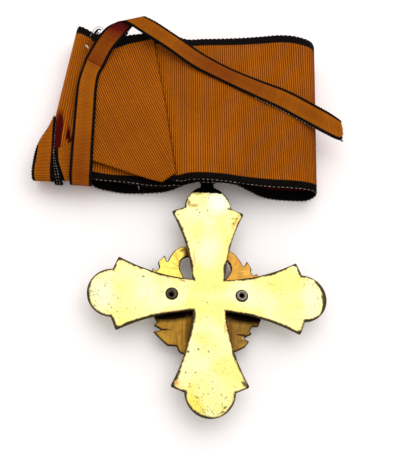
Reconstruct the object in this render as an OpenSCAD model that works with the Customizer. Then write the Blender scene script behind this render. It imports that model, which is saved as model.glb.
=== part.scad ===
// Neck badge of an order, lying with its plain reverse up, with its folded neck ribbon.
// Millimetres. The surface it lies on is z = 0, +Z is up, +Y runs from the badge to the ribbon.
// Sizes in x and y are taken from the centre of the cross, and placed() moves the whole so that
// the origin is under the middle of its outline.

/* [Cross] */
// Width of the cross from lobe tip to lobe tip
cross_w = 58; // [56:0.5:59]
// Thickness of the cross plate
cross_t = 2.2; // [1.8:0.1:2.4]
// Height of the upper (reverse) face above the surface
reverse_z = 6.3; // [6:0.1:6.6]
// Radius of the round lobe at the end of each arm
lobe_r = 5.9; // [5.4:0.1:6.2]
// Distance of the shoulder corners from the centre, along the arm
shoulder_u = 21.9; // [21:0.1:22.4]
// Half width of the arm at the shoulder corners
shoulder_v = 9.15; // [8.5:0.05:9.8]
// Half width of the arm where it meets the other arms
root_v = 3.95; // [3.6:0.05:4.3]
// Depth by which the flared side of an arm curves in from a straight line
side_sag = 1.0; // [0.6:0.1:1.3]
// Thickness of the plate at its edge
edge_t = 1.1; // [0.9:0.1:1.3]
// Width of the step round the front, between the edge and the raised rim
step_w = 1.1; // [0.8:0.1:1.3]
// Width of the raised rim round the front face
rim_w = 1.0; // [0.8:0.1:1.3]
// Depth of the sunk field inside the rim of the front face
field_depth = 0.5; // [0.3:0.1:0.8]

/* [Suspension loop] */
// Width of the neck between the top lobe and the loop
neck_w = 3.2; // [2.6:0.1:3.6]
// Thickness of the neck
neck_t = 1.2; // [1.1:0.05:1.25]
// Thickness of the loop's wire
loop_wire = 1.5; // [1.4:0.1:1.6]
// Mean radius of the loop
loop_r = 2.4; // [2.1:0.1:2.5]
// Height of the middle of the loop above the surface
loop_z = 4.75; // [4.73:0.01:4.77]
// Length of neck that shows between the lobe and the loop
neck_len = 1.2; // [1:0.1:1.4]

/* [Rivets] */
// Diameter of the rivet heads
rivet_head_d = 3.1; // [2.6:0.1:3.4]
// Height of the rivet heads above the reverse
rivet_head_h = 0.35; // [0.2:0.05:0.5]
// Diameter of the rivet tubes
rivet_d = 1.9; // [1.5:0.1:2]
// Diameter of the hole down each rivet
rivet_bore = 0.9; // [0.6:0.1:1.1]
// Clearance between riveted pieces
seat_gap = 0.05; // [0.03:0.01:0.08]

/* [Emblem] */
// Thickness of the emblem's plate
emblem_t = 1.0; // [0.9:0.1:1.2]
// Radius of the bird's rounded body
body_r = 4.6; // [4:0.1:5]
// Height cut off the lowest point of the body, where it rests
rest_cut = 0.25; // [0.15:0.05:0.4]

/* [Ribbon] */
// Thickness of the ribbon's wall
ribbon_t = 1.0; // [0.9:0.05:1]
// Thickness of the walls of the ties
tie_t = 0.95; // [0.8:0.05:1]

/* [Hidden] */
$fn = 64;

gilt = "#f1e48e";
emblem_gold = "#c58f35";
steel = "#77756f";
cloth = "#96500b";

front_z = reverse_z - cross_t;
tip_u = cross_w / 2;
lobe_u = tip_u - lobe_r;
rivet_x = [-9.0, 7.9];
rivet_hole_d = rivet_d + 2 * seat_gap;

// Middle of the whole outline in x and y
middle = [-3.71, 24.97];

module placed() {
    translate([-middle.x, -middle.y, 0]) children();
}

// The flared side of an arm is an arc from the root corner to the shoulder corner.
root = [root_v, root_v];
shoulder = [shoulder_u, shoulder_v];
chord = norm(shoulder - root);
side_r = chord * chord / (8 * side_sag) + side_sag / 2;
chord_normal = [root.y - shoulder.y, shoulder.x - root.x] / chord;
side_centre = (root + shoulder) / 2 + (side_r - side_sag) * chord_normal;

// The shoulder's end edge slants from its corner out to the notch beside the lobe.
shoulder_slant = (lobe_u + 0.1 - shoulder_u) / (shoulder_v - lobe_r);
shoulder_reach = 12;
function shoulder_x(v, inset) =
    shoulder_u + shoulder_slant * (shoulder_v - v) - inset * sqrt(1 + pow(shoulder_slant, 2));

module arm_outline(inset) {
    difference() {
        polygon([
            [0, -shoulder_reach],
            [shoulder_x(shoulder_reach, inset), -shoulder_reach],
            [shoulder_x(0, inset), 0],
            [shoulder_x(shoulder_reach, inset), shoulder_reach],
            [0, shoulder_reach],
        ]);
        for (side = [-1, 1])
            translate([side_centre.x, side * side_centre.y])
                circle(r = side_r + inset, $fn = 360);
    }
    translate([lobe_u, 0]) circle(r = lobe_r - inset);
}

module cross_outline(inset = 0) {
    for (turn = [0:90:270]) rotate(turn) arm_outline(inset);
}

// The neck is soldered into the raised rim and ends in the middle of the loop's wire.
module suspension_loop() {
    loop_y = tip_u + neck_len + loop_wire / 2 + loop_r;
    neck_root = tip_u - step_w - rim_w / 2;
    translate([-neck_w / 2, neck_root, loop_z - neck_t / 2])
        cube([neck_w, loop_y - loop_r - neck_root, neck_t]);
    translate([0, loop_y, loop_z])
        rotate_extrude() translate([loop_r, 0]) circle(d = loop_wire, $fn = 32);
}

module cross_body() {
    color(gilt) placed() {
        difference() {
            union() {
                translate([0, 0, reverse_z - edge_t]) linear_extrude(edge_t) cross_outline();
                translate([0, 0, front_z]) linear_extrude(cross_t - edge_t / 2)
                    cross_outline(step_w);
            }
            translate([0, 0, front_z - 1]) linear_extrude(1 + field_depth)
                cross_outline(step_w + rim_w);
            for (x = rivet_x)
                translate([x, 0, front_z - 1]) cylinder(d = rivet_hole_d, h = cross_t + 2);
        }
        suspension_loop();
    }
}

// Emblem, seen from the reverse. Each outline runs round one hand-cut part of the plate.
wing_left = [
    [-2.6, 3.4], [-5.7, 4.6], [-6.7, 6.7], [-7.0, 7.9], [-6.8, 9.2], [-6.1, 10.2], [-4.9, 10.6],
    [-2.4, 10.8], [-2.0, 12.6], [-5.6, 13.3], [-6.8, 13.1], [-8.2, 12.1], [-9.2, 10.6],
    [-10.1, 8.7], [-10.6, 10.8], [-12.3, 8.9], [-11.9, 7.4], [-12.7, 6.4], [-13.5, 7.4],
    [-14.0, 5.2],
    [-10.5, 2.0], [-4.0, -1.0],
];
wing_right = [
    [2.6, 3.4], [4.4, 5.0], [5.4, 6.3], [5.9, 7.6], [5.7, 8.9], [4.9, 9.9], [2.4, 10.4],
    [2.0, 12.4], [5.6, 12.7], [7.1, 11.6], [8.2, 10.0], [9.1, 8.3], [9.9, 10.0], [11.1, 7.9],
    [10.8, 7.1], [11.4, 6.2], [12.4, 6.8], [12.9, 5.2], [9.5, 2.0], [4.0, -1.0],
];
flames = [
    [-4.0, 0], [-13.4, -4.4], [-12.2, -6.4], [-13.0, -7.2], [-11.3, -8.1], [-9.7, -8.2],
    [-13.1, -8.7], [-12.0, -9.9], [-9.7, -12.0], [-7.4, -12.1], [-7.2, -13.2], [-6.4, -13.8],
    [-3.0, -14.4], [0, -12.8], [3.0, -14.0], [6.1, -13.2], [7.5, -12.6], [8.8, -11.9],
    [9.8, -10.6], [7.1, -9.0], [8.8, -9.6], [10.5, -8.7], [9.9, -7.9], [10.9, -6.8],
    [12.1, -6.9], [13.2, -4.4], [4.0, 0],
];
body_centre = [0, -1];
head_centre = [0.5, 8.3];
head_r = 2.0;
// The plate stands out a little round the body and the head.
ledge = 0.4;

module emblem_outline() {
    polygon(wing_left);
    polygon(wing_right);
    polygon(flames);
    square([22, 5], center = true);
    translate(body_centre) circle(r = body_r + ledge);
    translate(head_centre) circle(r = head_r + ledge);
    polygon([[-1.6, 0], [1.6, 0], [1.9, 8], [-0.9, 8]]);
    polygon([[2.0, 9.8], [4.3, 8.0], [2.2, 7.2]]);
}

// Raised feathers and flames on the front.
// Columns: root x, root y, direction, length, width, height above the plate
relief = [
    [3.0, 1.4, 22, 8.8, 2.0, 0.8],
    [3.0, 2.2, 40, 8.0, 2.0, 1.1],
    [7.6, 7.6, 118, 4.6, 1.6, 1.4],
    [-3.0, 1.4, 160, 9.6, 2.0, 0.8],
    [-4.5, 1.5, 128, 8.4, 2.0, 1.1],
    [-8.6, 8.0, 62, 4.8, 1.6, 1.4],
    [0, -3.0, -161, 12.0, 2.0, 0.8],
    [0, -3.0, -137, 11.5, 2.4, 1.3],
    [0, -3.0, -112, 10.2, 2.4, 0.9],
    [0, -3.0, -68, 10.2, 2.4, 1.2],
    [0, -3.0, -53, 10.3, 1.8, 0.8],
    [0, -3.0, -27, 10.1, 1.8, 1.3],
    [0, -3.0, -12, 11.3, 1.8, 0.9],
    [0.2, 2.0, 88, 6.4, 2.2, 1.6],
];

module tongue(length, width) {
    end = length - width / 2;
    translate([end, 0]) circle(d = width, $fn = 32);
    polygon([[0, -width / 4], [end, -width / 2], [end, width / 2], [0, width / 4]]);
}

module emblem() {
    plate_top = front_z - seat_gap;
    plate_low = plate_top - emblem_t;
    // The body is the low cap of a large sphere, with its lowest point cut flat.
    bulge = plate_low + rest_cut;
    bulge_r = (body_r * body_r + bulge * bulge) / (2 * bulge);
    head_h = 1.7;
    joint_h = 0.2;
    socket_depth = 0.6;
    color(emblem_gold) placed() {
        difference() {
            union() {
                translate([0, 0, plate_low]) linear_extrude(emblem_t) emblem_outline();
                for (r = relief)
                    translate([r[0], r[1], plate_low - r[5]]) rotate(r[2])
                        linear_extrude(r[5] + joint_h) tongue(r[3], r[4]);
                translate([body_centre.x, body_centre.y, 0])
                    intersection() {
                        translate([0, 0, plate_low - bulge + bulge_r]) sphere(r = bulge_r);
                        cylinder(r = body_r, h = plate_low + joint_h);
                    }
                translate([head_centre.x, head_centre.y, plate_low - head_h])
                    cylinder(r1 = head_r - 0.8, r2 = head_r, h = head_h + joint_h);
            }
            for (x = rivet_x)
                translate([x, 0, plate_top - socket_depth]) cylinder(d = rivet_hole_d, h = 2);
        }
    }
}

module rivet(x) {
    shank_low = front_z - seat_gap - 0.5;
    seat_z = reverse_z + seat_gap;
    color(steel) placed() translate([x, 0, 0])
        difference() {
            union() {
                translate([0, 0, shank_low]) cylinder(d = rivet_d, h = seat_z - shank_low + 0.1);
                translate([0, 0, seat_z])
                    cylinder(d1 = rivet_head_d, d2 = rivet_head_d - 0.5, h = rivet_head_h);
            }
            translate([0, 0, shank_low + 0.6]) cylinder(d = rivet_bore, h = cross_t + 2);
        }
}

module rivet_left() {
    rivet(rivet_x[0]);
}

module rivet_right() {
    rivet(rivet_x[1]);
}

// A woven band is a wall lofted through cross sections. Each row of a table gives the band's two
// edges in the middle of its thickness: x, y, z of the first edge, then x, y, z of the second.
function curve(rows, i, t) =
    let (last = len(rows) - 1,
         p0 = rows[max(i - 1, 0)], p1 = rows[i], p2 = rows[i + 1], p3 = rows[min(i + 2, last)])
    (2 * p1 + (p2 - p0) * t + (2 * p0 - 5 * p1 + 4 * p2 - p3) * t * t
        + (3 * p1 - p0 - 3 * p2 + p3) * t * t * t) / 2;

// No part of a wall goes below the surface.
function lifted(s, low) = [s[0], s[1], max(s[2], low), s[3], s[4], max(s[5], low)];

function sections(rows, steps, low) = [
    for (i = [0:len(rows) - 2], k = [0:steps - 1]) lifted(curve(rows, i, k / steps), low),
    rows[len(rows) - 1],
];

function edge_point(s, v) =
    [s[0], s[1], s[2]] * (1 - v) + [s[3], s[4], s[5]] * v;

function wall_normal(secs, i, v) =
    let (along = edge_point(secs[min(i + 1, len(secs) - 1)], v) - edge_point(secs[max(i - 1, 0)], v),
         across = edge_point(secs[i], 1) - edge_point(secs[i], 0),
         n = cross(along, across))
    n / norm(n);

module band(rows, thickness, steps = 3, columns = 2) {
    secs = sections(rows, steps, thickness / 2);
    ring = 2 * (columns + 1);
    points = [
        for (i = [0:len(secs) - 1], j = [0:ring - 1])
            let (v = (j <= columns ? j : ring - 1 - j) / columns,
                 side = j <= columns ? 1 : -1)
            edge_point(secs[i], v) + side * thickness / 2 * wall_normal(secs, i, v)
    ];
    last = (len(secs) - 1) * ring;
    sides = [
        for (i = [0:len(secs) - 2], j = [0:ring - 1])
            let (a = i * ring + j, b = i * ring + (j + 1) % ring)
            each [[a, b, a + ring], [b, b + ring, a + ring]]
    ];
    ends = [
        for (j = [0:columns - 1])
            let (a = j, b = j + 1, c = ring - 2 - j, d = ring - 1 - j)
            each [[a, c, b], [a, d, c], [last + a, last + b, last + c], [last + a, last + c, last + d]]
    ];
    polyhedron(points = points, faces = concat(sides, ends), convexity = 10);
}

// Wide ribbon. The first edge lies towards the badge, the second away from it.
ribbon_rows = [
    // inner layer, from its hidden end out to the left
    [-9.5, 29.8, 4.2, -9.5, 75.3, 5.2],
    [-15, 29.8, 4.2, -15, 75.3, 5.3],
    [-22, 29.8, 5.3, -22, 75.3, 5.4],
    [-28.5, 29.9, 6.1, -28, 75.3, 5.5],
    [-33, 30.9, 6.1, -31, 75.4, 6.0],
    [-38.7, 30.8, 5.6, -33.8, 75.6, 7.2],
    // fold at the left, where the ribbon turns under
    [-41.2, 32.2, 3.8, -35.5, 75.7, 4.8],
    [-38.7, 33.6, 1.9, -33.8, 75.6, 1.8],
    // lower layer, on the surface, raised over the suspension loop in the middle
    [-32.5, 32.8, 2.1, -28.5, 75.4, 0.8],
    [-28.2, 30.6, 1.9, -24, 75.2, 0.5],
    [-20, 29.5, 0.5, -19, 75.2, 0.5],
    [-13, 29.5, 0.5, -13, 75.2, 0.5],
    [-9, 29.6, 2.2, -9, 75.2, 0.5],
    [-5.5, 29.9, 5.6, -5.5, 75.2, 0.5],
    [-2, 30.0, 7.2, -2, 75.2, 0.5],
    [3, 30.0, 7.4, 3, 75.2, 0.5],
    [7.5, 29.9, 6.6, 7.5, 75.2, 0.5],
    [11, 29.7, 4.2, 11, 75.2, 0.5],
    [15, 29.5, 1.6, 15, 75.2, 0.5],
    [19.5, 29.4, 0.5, 19.5, 75.2, 0.5],
    [25.6, 29.4, 0.5, 25.2, 75.2, 0.5],
    // open fold at the right
    [27.8, 29.4, 1.3, 28.9, 75.3, 1.8],
    [28.8, 29.5, 3.5, 30.5, 75.4, 5.7],
    [28.1, 29.6, 5.7, 29.0, 75.4, 9.4],
    // top layer, back to the left
    [25.2, 29.7, 6.6, 24.6, 75.3, 10.9],
    [21, 29.7, 7.0, 20, 75.3, 10.4],
    [16, 29.7, 7.2, 15, 75.3, 9.1],
    [9.5, 29.8, 7.9, 9, 75.3, 8.1],
    [4, 30.0, 8.9, 3, 75.3, 7.5],
    [-1, 30.0, 9.1, -3, 75.3, 7.1],
    [-5, 29.9, 8.2, -9, 75.2, 6.9],
    // stitched mitre, then the slanting stretch with its lower corner turned under
    [-8.2, 30.0, 6.0, -14.6, 75.1, 6.8],
    [-12, 30.4, 5.7, -18, 74.0, 6.9],
    [-20, 32.5, 6.4, -24, 72.0, 7.0],
    [-26, 34.2, 7.2, -28, 70.6, 7.1],
    [-31, 35.7, 7.6, -31, 69.7, 7.4],
];

module neck_ribbon() {
    color(cloth) placed() band(ribbon_rows, ribbon_t, columns = 3);
}

// Long tie: from under the bundle, round its lower edge, up the left part, over a fold at the top
// and down to the right to its free end. First edge on the left, then on the lower side.
tie_long_rows = [
    [-34.8, 38, 0.5, -29.8, 38, 0.5],
    [-34.8, 32.2, 0.5, -29.8, 32.1, 0.5],
    [-34.8, 30.7, 1.5, -29.8, 30.6, 1.5],
    [-34.9, 29.4, 3.4, -29.8, 29.3, 3.4],
    [-34.9, 28.6, 5.4, -29.7, 28.5, 5.4],
    [-34.9, 28.4, 7.1, -29.7, 28.3, 7.1],
    [-35, 29.6, 8.4, -29.8, 29.5, 8.4],
    [-35, 32, 8.7, -29.8, 32, 8.7],
    [-35, 38, 8.8, -29.9, 38, 8.8],
    [-34.9, 47, 8.8, -29.9, 47, 8.8],
    [-34.7, 56, 8.7, -29.7, 55, 8.7],
    [-33.9, 61, 8.6, -29.2, 59.5, 8.6],
    [-32.6, 65, 8.6, -28.2, 62.6, 8.6],
    [-30.5, 70, 9.2, -25.9, 67.6, 9.1],
    [-28.5, 73.8, 9.7, -23.2, 71.8, 9.5],
    [-26.4, 75.6, 9.9, -20.4, 76.2, 9.7],
    // fold at the top, where the tie turns over
    [-24.2, 76.2, 10.5, -17.8, 78.5, 10.4],
    [-22.4, 75.4, 11.2, -16.9, 77.9, 11.1],
    [-17.2, 72.2, 10.8, -14.2, 76.8, 10.8],
    [-11, 68.8, 9.8, -8.3, 73.5, 9.8],
    [-4, 64.2, 9.4, -1.3, 69.0, 9.4],
    [3.5, 60.2, 9.4, 6.2, 64.8, 9.5],
    [11.9, 55.6, 9.6, 14.6, 60.6, 9.9],
    [19.2, 51.7, 9.9, 21.8, 57.4, 10.4],
    [26.3, 47.6, 9.9, 29, 53.4, 10.4],
    [31.6, 45, 9.2, 34, 51, 9.5],
    [36.2, 43.9, 8.4, 36.4, 50.2, 8.5],
];

module tie_long() {
    color(cloth) placed() band(tie_long_rows, tie_t, columns = 1);
}

// Inner tie: sewn to the gathered ribbon, down beside the long tie and under it to the edge.
tie_inner_rows = [
    [-37.9, 50, 7.5, -34.0, 50, 7.4],
    [-37.8, 45, 7.4, -33.9, 45, 7.4],
    [-38.1, 41, 7.3, -33.8, 41, 7.4],
    [-38.7, 37, 7.3, -33.7, 37, 7.4],
    [-38.5, 33.6, 7.3, -33.4, 33.6, 7.5],
    [-37.6, 31.2, 7.2, -32.4, 31.2, 7.5],
    [-37.0, 29.7, 6.4, -31.9, 29.7, 6.6],
    [-36.7, 29.4, 5.4, -31.8, 29.7, 5.5],
];

module tie_inner() {
    color(cloth) placed() band(tie_inner_rows, 0.8, columns = 1);
}

// Short tie: turned over at its top, down the far left and round the lower edge of the bundle.
tie_short_rows = [
    [-40.0, 47.0, 6.9, -39.4, 46.7, 7.1],
    [-41.2, 43.4, 7.0, -39.4, 43.2, 7.3],
    [-42.7, 40.0, 7.0, -39.4, 40.0, 7.3],
    [-43.6, 36.5, 6.9, -39.3, 36.5, 7.2],
    [-44.0, 31.8, 6.9, -39.2, 31.8, 7.1],
    [-43.9, 29.5, 6.4, -39.0, 29.5, 6.6],
    [-43.6, 29.2, 5.0, -38.9, 29.2, 5.1],
    [-43.5, 30.4, 3.2, -38.9, 30.4, 3.2],
    [-43.5, 31.8, 1.4, -38.9, 31.8, 1.4],
    [-43.5, 33.4, 0.5, -38.9, 33.4, 0.5],
    [-43.4, 40, 0.5, -38.9, 40, 0.5],
];

module tie_short() {
    color(cloth) placed() band(tie_short_rows, tie_t, columns = 1);
}

cross_body();
emblem();
rivet_left();
rivet_right();
neck_ribbon();
tie_long();
tie_inner();
tie_short();
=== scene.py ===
"""Neck badge of an order, lying reverse up, with its folded ribbon and ties.

Lengths are in millimetres from the centre of the cross unless a name says otherwise, and placed()
takes them into the frame.
"""
import math

import bmesh
import bpy
import numpy as np
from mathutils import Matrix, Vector


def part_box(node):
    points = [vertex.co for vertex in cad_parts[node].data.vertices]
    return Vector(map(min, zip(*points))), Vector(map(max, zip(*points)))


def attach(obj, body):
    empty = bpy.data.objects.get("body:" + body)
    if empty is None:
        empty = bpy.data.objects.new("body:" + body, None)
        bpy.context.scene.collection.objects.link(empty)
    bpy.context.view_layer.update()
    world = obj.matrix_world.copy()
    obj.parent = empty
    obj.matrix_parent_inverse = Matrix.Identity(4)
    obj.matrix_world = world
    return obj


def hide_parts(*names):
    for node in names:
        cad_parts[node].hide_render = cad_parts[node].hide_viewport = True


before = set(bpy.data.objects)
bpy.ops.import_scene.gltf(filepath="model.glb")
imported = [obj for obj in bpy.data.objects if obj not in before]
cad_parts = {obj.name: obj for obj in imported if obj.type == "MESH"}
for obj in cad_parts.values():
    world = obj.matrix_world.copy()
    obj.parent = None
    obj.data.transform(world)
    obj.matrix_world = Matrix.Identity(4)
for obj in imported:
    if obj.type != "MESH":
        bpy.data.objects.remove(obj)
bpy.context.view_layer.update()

# Camera
# The photograph looks down on the badge from below its lower arm and a little from the left.
MM = 0.001
camera_data = bpy.data.cameras.new("camera")
camera_data.lens = 57.14
camera_data.sensor_width = 36
camera_data.clip_start = 10 * MM
camera = bpy.data.objects.new("camera", camera_data)
camera.location = Vector((-19.12, -81.09, 169.01)) * MM
camera.rotation_euler = [math.radians(angle) for angle in (24.263, -7.431, -0.577)]
bpy.context.scene.collection.objects.link(camera)
bpy.context.scene.camera = camera

# Light and surface
# Soft daylight falls from the side of the ribbon on a sheet of white paper, so the shadows are
# short and lie towards the camera.
bpy.context.scene.view_settings.view_transform = "Standard"


def linear(code):
    """The linear colour of an sRGB hex code."""
    parts = [int(code[i:i + 2], 16) / 255 for i in (1, 3, 5)]
    return (*[p / 12.92 if p <= 0.04045 else ((p + 0.055) / 1.055) ** 2.4 for p in parts], 1.0)


def give(tree, node, inputs):
    """Sets a node's inputs, in their order or by name, to values or to links.

    A node among them stands for its first output.
    """
    if not isinstance(inputs, dict):
        inputs = dict(zip((i for i, s in enumerate(node.inputs) if s.enabled), inputs))
    for key, value in inputs.items():
        if isinstance(value, bpy.types.Node):
            value = next(socket for socket in value.outputs if socket.enabled)
        if isinstance(value, bpy.types.NodeSocket):
            tree.links.new(value, node.inputs[key])
        else:
            node.inputs[key].default_value = value


def add(tree, kind, inputs=(), stops=(), **settings):
    """Adds a node of a kind, or of a kind and its operation, with its settings and inputs.

    Stops are a ramp's places and colours, the first and the last of them before the others.
    """
    kind, _, work = kind.partition(" ")
    family = next(f for f in ("", "Shader", "Geometry", "Function")
                  if hasattr(bpy.types, f"{f}Node{kind}"))
    node = tree.nodes.new(f"{family}Node{kind}")
    if work:
        setattr(node, "data_type" if kind == "Mix" else "operation", work)
    for key, value in settings.items():
        setattr(node, key, value)
    give(tree, node, inputs)
    for number, (position, code) in enumerate(stops):
        ramp = node.color_ramp.elements
        stop = ramp[number] if number < 2 else ramp.new(position)
        stop.position, stop.color = position, linear(code)
    return node


def new_material(name):
    """A new material, its node tree and its shader."""
    material = bpy.data.materials.new(name)
    material.use_nodes = True
    return material, material.node_tree, material.node_tree.nodes["Principled BSDF"]


def mesh_object(name, points, faces, material=None, edges=(), **layers):
    """A new object at the origin, with its place in its mesh. A layer is a value for each point."""
    mesh = bpy.data.meshes.new(name)
    mesh.from_pydata([tuple(p) for p in points], list(edges), [tuple(f) for f in faces])
    mesh.validate()
    for key, values in layers.items():
        mesh.attributes.new(key, "FLOAT", "POINT").data.foreach_set("value", values)
    made = bpy.data.objects.new(name, mesh)
    bpy.context.scene.collection.objects.link(made)
    if material:
        mesh.materials.append(material)
    return made


# The sky is brighter on the side of the window than on the side of the camera.
SKY_FAR, SKY_NEAR = 1.06, 0.86
world = bpy.data.worlds.new("daylight")
world.use_nodes = True
tree = world.node_tree
direction = add(tree, "TexCoord").outputs["Generated"]
northing = add(tree, "SeparateXYZ", [direction]).outputs["Y"]
glow = add(tree, "MapRange", [northing, -0.6, 0.6, SKY_NEAR, SKY_FAR])
give(tree, tree.nodes["Background"], {"Color": linear("#fff9fa"), "Strength": glow})
bpy.context.scene.world = world

WINDOW_SIZE, WINDOW_DISTANCE, WINDOW_WATTS = 1.25, 0.95, 4.0
WINDOW_SIDE = Vector((0.20, 0.52, 0.83)).normalized()
window_data = bpy.data.lights.new("window", "AREA")
window_data.size = WINDOW_SIZE
window_data.energy = WINDOW_WATTS
window = bpy.data.objects.new("window", window_data)
window.location = WINDOW_SIDE * WINDOW_DISTANCE
window.rotation_euler = WINDOW_SIDE.to_track_quat("Z", "Y").to_euler()
bpy.context.scene.collection.objects.link(window)

paper, tree, shader = new_material("white_paper")
give(tree, shader, {"Base Color": linear("#fcfbf9"), "Roughness": 0.9, "Specular IOR Level": 0.2})
FLOOR_HALF = 0.7
corners = [(-1, -1), (1, -1), (1, 1), (-1, 1)]
floor = mesh_object(
    "floor", [(x * FLOOR_HALF, y * FLOOR_HALF, 0) for x, y in corners], [(0, 1, 2, 3)], paper
)

# Cast emblem
# A cast and gilt ornament of bronze, pierced and chased by hand, riveted behind the arms. Its back
# is plain and brushed, painted bright on the wings above and painted in shade below the arms, and
# brown on its steep edges.
CROSS_LOW, CROSS_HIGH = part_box("cross_body")
CENTRE_X = (CROSS_LOW.x + CROSS_HIGH.x) / 2
CENTRE_Y = CROSS_LOW.y + (CROSS_HIGH.x - CROSS_LOW.x) / 2


def in_millimetres(tree):
    """The object coordinates in millimetres."""
    place = add(tree, "TexCoord").outputs["Object"]
    return add(tree, "Mapping", {"Vector": place, "Scale": (1000, 1000, 1000)})


def from_centre(tree, in_mm):
    """How far each point lies from the centre of the cross, along X and along Y."""
    centre = (CENTRE_X / MM, CENTRE_Y / MM, 0)
    centred = add(tree, "VectorMath SUBTRACT", [in_mm, centre])
    sides = add(tree, "SeparateXYZ", [centred]).outputs
    return sides["X"], sides["Y"]


def oval(tree, where, mark, outer, inner):
    """How far inside a mark each point lies, from 0 at its outer border to its strength inside.

    A mark is x, y, half its length, half its width, its turn in degrees and its strength.
    """
    x, y, long, wide, turn, strength = mark
    local = add(
        tree, "Mapping",
        [where, (CENTRE_X / MM + x, CENTRE_Y / MM + y, 0), (0, 0, math.radians(turn)),
         (long, wide, 1000)],
        vector_type="TEXTURE",
    )
    away = add(tree, "VectorMath LENGTH", [local])
    return add(tree, "MapRange", [away, outer, inner, 0, strength])


def covered(tree, colour, covers):
    """Lays plain colours over a colour, each with its share."""
    for share, code in covers:
        colour = add(tree, "Mix RGBA", [share, colour, linear(code)])
    return colour


def marked(tree, where, colour, marks):
    """Lays small oval marks over a colour. Each has its own colour after its strength."""
    return covered(tree, colour,
                   ((oval(tree, where, mark, 1.3, 0.5), code) for *mark, code in marks))


# Cast bronze, fire-gilt and brushed downwards. It gives a warm satin mirror, painted yellow on the
# left wing and orange on the right one as they catch the light, painted in ochre shade below the
# arms, and brown on its steep edges.
cast_gilding, tree, shader = new_material("cast_gilt_bronze")
in_mm = in_millimetres(tree)
rightwards, upwards = (
    add(tree, "MapRange", [side, -3.0, 3.0]) for side in from_centre(tree, in_mm)
)
# Painted light and shade: the wings above are lit, and the parts below the arms lie in shade.
below, above = (
    add(tree, "Mix RGBA", [rightwards, linear(left), linear(right)])
    for left, right in (("#96702a", "#80602a"), ("#ead466", "#c4933f"))
)
lit_and_shaded_regions = add(tree, "Mix RGBA", [upwards, below, above])
streak_space = add(tree, "Mapping", {"Vector": in_mm, "Scale": (3.2, 0.18, 1)})
streaks = add(tree, "TexNoise", [streak_space, 1.0, 3])
mottle = add(tree, "TexNoise", [in_mm, 0.8, 5])
brushed = add(tree, "MapRange", [streaks, 0.3, 0.7, 0.72, 1.16])
mottled = add(tree, "MapRange", [mottle, 0.3, 0.7, 0.8, 1.12])
# The brushing shows below the arms, and the wings above are only mottled.
streaked = add(tree, "Mix FLOAT", [upwards, brushed, 1.0])
tone = add(tree, "Math MULTIPLY", [streaked, mottled])
varied = add(tree, "VectorMath SCALE", [lit_and_shaded_regions, tone])
ARM_SHADOW, GROOVE = "#140c04", "#1c1106"
marked_gilding = marked(tree, in_mm, varied, [
    # painted shade on the rolled-over top of the left wing, painted highlights on that wing, and
    # orange places on both wings
    (-5, 10.8, 1, 2, 10, 0.95, "#6a3a0e"), (-5.9, 12.3, 1.2, 0.5, 20, 0.8, "#7a4a12"),
    (-8.2, 11.2, 0.8, 1.3, 30, 0.5, "#cf9a30"), (-6.8, 8.6, 0.6, 1.4, 10, 0.5, "#cf9a30"),
    (-10.6, 6.9, 2, 0.5, 5, 0.4, "#f0e27a"), (-9.4, 9.3, 1.4, 0.6, 50, 0.4, "#f0e27a"),
    (8.4, 9.6, 1.4, 0.8, -40, 0.5, "#c07c26"), (9.8, 7, 1.6, 0.6, 0, 0.45, "#e2b05a"),
    # painted shadow in the angles under the arms, painted shade on the wings beside the lower arm,
    # and yellower places lower down
    (-8.2, -4.8, 7.4, 1.25, 8, 1, ARM_SHADOW), (8.4, -4.8, 7.4, 1.45, -8, 1, ARM_SHADOW),
    (-4.9, -9, 0.7, 5, 0, 0.7, "#4a3210"), (5.2, -9.5, 0.7, 5, 0, 0.6, "#4a3210"),
    (-6.3, -10.6, 0.22, 4, 2, 0.5, "#5a3f14"), (-7.6, -11.5, 0.18, 3.4, 2, 0.4, "#5a3f14"),
    (-10.8, -10, 1.8, 1, -35, 0.5, "#b08a36"), (8.6, -11.6, 1.6, 0.8, 15, 0.5, "#a8803a"),
    # grooves between the feathers, with a painted highlight beside them
    (-10.7, -8.2, 1.6, 0.22, 0, 1, GROOVE), (7.9, -9.05, 1.3, 0.22, -4, 1, GROOVE),
    (8.9, -9.5, 0.8, 0.2, -40, 1, GROOVE), (9.8, -9.1, 1.3, 0.22, 33, 1, GROOVE),
    (8.3, -9.9, 0.5, 0.3, -20, 0.6, "#b9a27a"),
    (-8.4, 7.3, 2, 0.14, -3, 0.6, "#c08c2e"), (-8.1, 8.4, 1.8, 0.14, -30, 0.6, "#c08c2e"),
    (-7.4, 9.6, 1.7, 0.14, -55, 0.6, "#b87f28"), (-6.6, 7.4, 0.6, 1.8, 0, 0.5, "#d09a34"),
    (8, 6.7, 1.6, 0.13, 8, 0.6, "#8f6224"), (7.7, 8, 1.6, 0.13, 35, 0.6, "#8f6224"),
    (7, 9.2, 1.5, 0.13, 62, 0.6, "#8f6224"),
])
edge = add(tree, "Attribute", attribute_name="edge").outputs["Fac"]
uneven_edge = add(tree, "Math MULTIPLY_ADD", [mottle, 0.5, edge])
browned_share = add(tree, "MapRange", [uneven_edge, 0.65, 1.0])
browned = covered(tree, marked_gilding, [(browned_share, "#33210c")])
relief = add(tree, "Math MULTIPLY_ADD", [mottle, 0.8, streaks])
bump = add(tree, "Bump", {"Height": relief, "Strength": 0.5, "Distance": 0.08 * MM})
give(tree, shader, {"Base Color": browned, "Normal": bump, "Metallic": 1.0, "Roughness": 0.42})

VOXEL, SMOOTHING = 0.17, 4
FLAT, STEEP = 0.9, 0.35  # how far the normals point up where an edge starts and where it is full
EDGE_SPREAD, EDGE_FADE = 2, 0.85


def evaluated(made):
    """Replaces an object's mesh by its mesh with the modifiers applied, and removes them."""
    depsgraph = bpy.context.evaluated_depsgraph_get()
    mesh = bpy.data.meshes.new_from_object(made.evaluated_get(depsgraph), depsgraph=depsgraph)
    made.modifiers.clear()
    old = made.data
    made.data = mesh
    mesh.name = made.name
    bpy.data.meshes.remove(old)
    return made


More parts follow.
